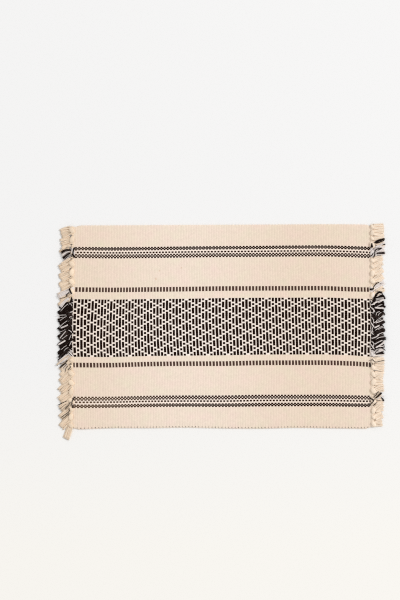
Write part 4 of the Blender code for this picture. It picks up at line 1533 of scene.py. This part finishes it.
LEFT_LOCKS = (
    Lock(Yarn.UNDYED, 0.9, ((-245.7, 132.3), (-252.2, 131.6), (-260.6, 127.4)), 3, (0.8, 1.6)),
    Lock(Yarn.UNDYED, 0.9, ((-246.7, 111.1), (-252.2, 107.9), (-261.0, 101.7)), 3, (0.9, 1.8)),
    Lock(Yarn.BLACK, 1.1, ((-245.4, 125.9), (-248.3, 125.1), (-253.3, 125.1), (-256.6, 123.8),
                           (-261.6, 120.7)), 2, (1.0, 2.2)),
    Lock(Yarn.LINTED, 1.05, ((-247.3, 122.7), (-251.5, 122.0), (-255.0, 120.2), (-260.3, 116.3))),
    Lock(Yarn.BLACK, 1.1, ((-246.3, 120.1), (-249.3, 119.1), (-253.3, 116.5),
                           (-258.9, 111.8)), 2, (0.7, 2.0)),
    Lock(Yarn.BLACK, 0.65, ((-248.6, 116.0), (-252.3, 113.9), (-256.1, 109.8))),
    Lock(Yarn.LINTED, 0.5, ((-248.0, 114.5), (-251.2, 112.6), (-254.5, 109.5))),
    Lock(Yarn.BLACK, 0.55, ((-245.0, 125.8), (-246.5, 122.8), (-246.3, 119.9))),
    Lock(Yarn.LINTED, 0.75, ((-242.6, 128.9), (-243.2, 125.8), (-243.7, 122.8), (-244.9, 119.6))),
    Lock(Yarn.BLACK, 1.2, ((-238.7, 129.3), (-240.5, 127.4), (-241.4, 123.0), (-241.8, 118.9),
                           (-240.3, 114.7), (-238.4, 113.1))),
    Lock(Yarn.BLACK, 0.85, ((-242.7, 118.6), (-243.7, 116.3), (-244.1, 114.1))),
    Lock(Yarn.BLACK, 0.85, ((-244.1, 53.9), (-246.3, 57.8), (-248.0, 63.0)), 2, (1.0, 1.3)),
    Lock(Yarn.BLACK, 0.85, ((-248.3, 57.1), (-250.9, 54.5), (-252.8, 50.6))),
    Lock(Yarn.LINTED, 0.85, ((-248.9, 57.8), (-255.4, 54.8), (-266.8, 49.6)), 3, (1.1, 1.7)),
    Lock(Yarn.BLACK, 0.5, ((-249.9, 50.9), (-256.3, 48.2), (-263.6, 46.2))),
    Lock(Yarn.BLACK, 0.8, ((-243.4, 49.6), (-246.0, 42.8), (-249.6, 37.9))),
    Lock(Yarn.LINTED, 0.9, ((-248.6, 46.9), (-254.6, 42.5), (-262.9, 32.7)), 3, (1.1, 1.9)),
    Lock(Yarn.LINTED, 0.5, ((-249.3, 38.2), (-254.5, 34.3), (-262.6, 25.5))),
    Lock(Yarn.BLACK, 0.9, ((-247.6, 34.0), (-253.8, 29.4), (-262.6, 22.3)), 3, (1.1, 1.7)),
    Lock(Yarn.LINTED, 0.45, ((-253.2, 19.8), (-261.9, 19.4), (-268.5, 18.7))),
    Lock(Yarn.LINTED, 0.35, ((-253.8, 16.6), (-261.1, 15.6), (-268.1, 13.8))),
    Lock(Yarn.LINTED, 0.35, ((-251.9, 18.4), (-257.7, 14.5), (-263.6, 10.6))),
    Lock(Yarn.LINTED, 0.45, ((-251.5, 10.3), (-257.7, 6.0), (-264.6, -0.7))),
    Lock(Yarn.LINTED, 0.55, ((-250.2, 3.7), (-255.8, 1.1), (-262.3, -1.5)), 2, (1.0, 1.3)),
    Lock(Yarn.LINTED, 0.35, ((-254.6, -3.9), (-259.5, -6.3), (-266.8, -9.9))),
    Lock(Yarn.LINTED, 0.75, ((-253.8, -6.7), (-258.7, -12.2), (-263.6, -18.4))),
    Lock(Yarn.LINTED, 0.4, ((-251.4, -12.9), (-256.3, -16.4), (-260.6, -19.7))),
    Lock(Yarn.LINTED, 0.8, ((-254.5, -21.8), (-260.3, -25.2), (-266.5, -28.6)), 2, (0.8, 1.1)),
    Lock(Yarn.LINTED, 0.4, ((-252.5, -29.8), (-256.7, -32.4), (-261.6, -36.6))),
    Lock(Yarn.LINTED, 0.35, ((-249.6, -33.0), (-253.8, -35.3), (-257.1, -39.2))),
    Lock(Yarn.BLACK, 0.9, ((-250.9, -37.9), (-258.7, -42.1), (-266.0, -49.6)), 2, (1.1, 1.5)),
    Lock(Yarn.LINTED, 0.45, ((-253.2, -44.1), (-260.3, -50.9), (-264.6, -56.8))),
    Lock(Yarn.LINTED, 0.5, ((-248.9, 39.2), (-246.0, 37.9), (-243.4, 34.3))),
    Lock(Yarn.LINTED, 0.5, ((-248.0, 15.1), (-245.7, 17.1), (-243.1, 16.1))),
    Lock(Yarn.LINTED, 0.55, ((-249.3, -4.7), (-246.7, -6.0), (-243.7, -8.6))),
    Lock(Yarn.LINTED, 0.5, ((-244.7, -12.2), (-246.7, -16.8), (-248.6, -20.7))),
    Lock(Yarn.LINTED, 0.5, ((-243.7, -22.6), (-246.0, -26.5), (-248.0, -30.4))),
    Lock(Yarn.LINTED, 0.5, ((-247.0, -35.6), (-246.0, -38.9), (-244.1, -41.5))),
    Lock(Yarn.UNDYED, 0.65, ((-248.3, -46.4), (-255.4, -49.9), (-261.9, -55.5),
                             (-268.8, -61.7)), 2, (1.0, 0.9)),
    Lock(Yarn.LINTED, 0.45, ((-252.2, -52.9), (-260.0, -56.6), (-266.2, -59.9))),
    Lock(Yarn.BLACK, 0.95, ((-251.2, -53.9), (-252.3, -55.0), (-253.5, -56.1))),
    Lock(Yarn.BLACK, 0.4, ((-253.8, -56.0), (-260.6, -58.7), (-265.2, -59.7), (-268.8, -63.6))),
    Lock(Yarn.BLACK, 0.45, ((-253.8, -57.4), (-259.3, -61.0), (-262.9, -64.3))),
    Lock(Yarn.BLACK, 0.42, ((-252.8, -57.8), (-257.7, -61.7), (-261.3, -64.6),
                            (-264.1, -66.9)), 2, (0.5, 1.1)),
    Lock(Yarn.LINTED, 0.45, ((-252.8, -59.7), (-257.4, -63.6), (-261.0, -66.9))),
    Lock(Yarn.BLACK, 0.45, ((-251.9, -59.7), (-255.8, -63.6), (-258.7, -67.5))),
    Lock(Yarn.LINTED, 0.45, ((-250.9, -61.0), (-254.5, -64.9), (-256.7, -69.5))),
    Lock(Yarn.BLACK, 0.4, ((-250.7, -63.0), (-253.8, -67.5), (-255.0, -73.7))),
    Lock(Yarn.BLACK, 0.7, ((-244.1, -60.5), (-245.5, -59.4), (-247.5, -60.4))),
    Lock(Yarn.BLACK, 0.6, ((-245.0, -63.0), (-246.3, -65.2), (-248.6, -67.8), (-250.2, -69.8))),
    Lock(Yarn.BLACK, 0.6, ((-252.3, -120.1), (-259.5, -123.2), (-266.3, -126.7))),
    Lock(Yarn.BLACK, 0.6, ((-246.0, -121.2), (-249.6, -127.4), (-255.1, -133.9))),
    Lock(Yarn.BLACK, 0.35, ((-253.2, -124.5), (-259.7, -129.0), (-264.6, -133.6))),
    Lock(Yarn.BLACK, 0.3, ((-251.9, -127.7), (-257.4, -132.6), (-261.6, -137.2))),
    Lock(Yarn.BLACK, 0.6, ((-248.4, -130.6), (-248.0, -136.5), (-254.6, -141.7), (-262.1, -147.2))),
    Lock(Yarn.BLACK, 0.5, ((-248.3, -140.1), (-253.8, -144.6), (-259.7, -149.5))),
    Lock(Yarn.BLACK, 0.95, ((-238.4, -114.2), (-241.4, -116.3), (-243.2, -120.2), (-243.6, -125.1),
                            (-242.3, -131.3))),
)


def main() -> None:
    """Builds the studio, the cloth and both fringes."""
    logging.basicConfig(level=logging.INFO, format="%(name)s: %(message)s")
    studio = Studio()
    floor = studio.build_floor(PaintedBoard().make())
    studio.build_light()
    studio.build_camera()

    chart = Chart()
    cloth = Cloth(chart=chart)
    woven = cloth.build(WovenCotton(chart=chart).make())
    undyed = SpunCotton("undyed_cotton_yarn", colour="FEECD8", ply_valley_shade="EDD6BC").make()
    black = SpunCotton("black_cotton_yarn", colour="1A0C07", ply_valley_shade="0C0503", lint=0.14).make()
    linted = SpunCotton("linted_cotton_yarn", colour="F8EFEA", ply_valley_shade="DED2CB").make()
    # The left end's pale yarns are painted a little darker, as that end lies in shade
    left = Fringe(
        side=Side.LEFT, stretches=LEFT_STRETCHES, locks=LEFT_LOCKS, cloth=cloth, seed=21,
        knots_at=(243.8, 245.6), overlap=0.6, band_black=0.97, knot_black=0.97, painted_shade=0.4,
    )
    right = Fringe(
        side=Side.RIGHT, stretches=RIGHT_STRETCHES, locks=RIGHT_LOCKS, cloth=cloth, seed=34,
        knots_at=(243.7, 246.2), overlap=1.0, band_black=0.88, knot_black=0.8,
    )
    # The left end's pale yarn: a touch yellower than the right's, with darker, warmer shade painted between
    # its plies, as that end lies in shade
    yellowed_shaded_yarn = SpunCotton("yellowed_cotton_yarn_painted_shade", colour="FEEAD3", ply_valley_shade="E6CAA8").make()
    hanging = []
    for fringe, pale in ((left, yellowed_shaded_yarn), (right, undyed)):
        pieces = fringe.build([pale, black, linted])
        fringe.dress(pieces)
        hanging += pieces
        LOG.info("%s fringe: %d tassels", fringe.side.name.lower(), len(fringe.middle))
    cloth.dress(woven, hanging, floor)
    for piece in [woven, *hanging]:
        triangles = sum(len(p.vertices) - 2 for p in piece.data.polygons)
        LOG.info("%s: %d triangles", piece.name, triangles)


if __name__ == "__main__":
    main()
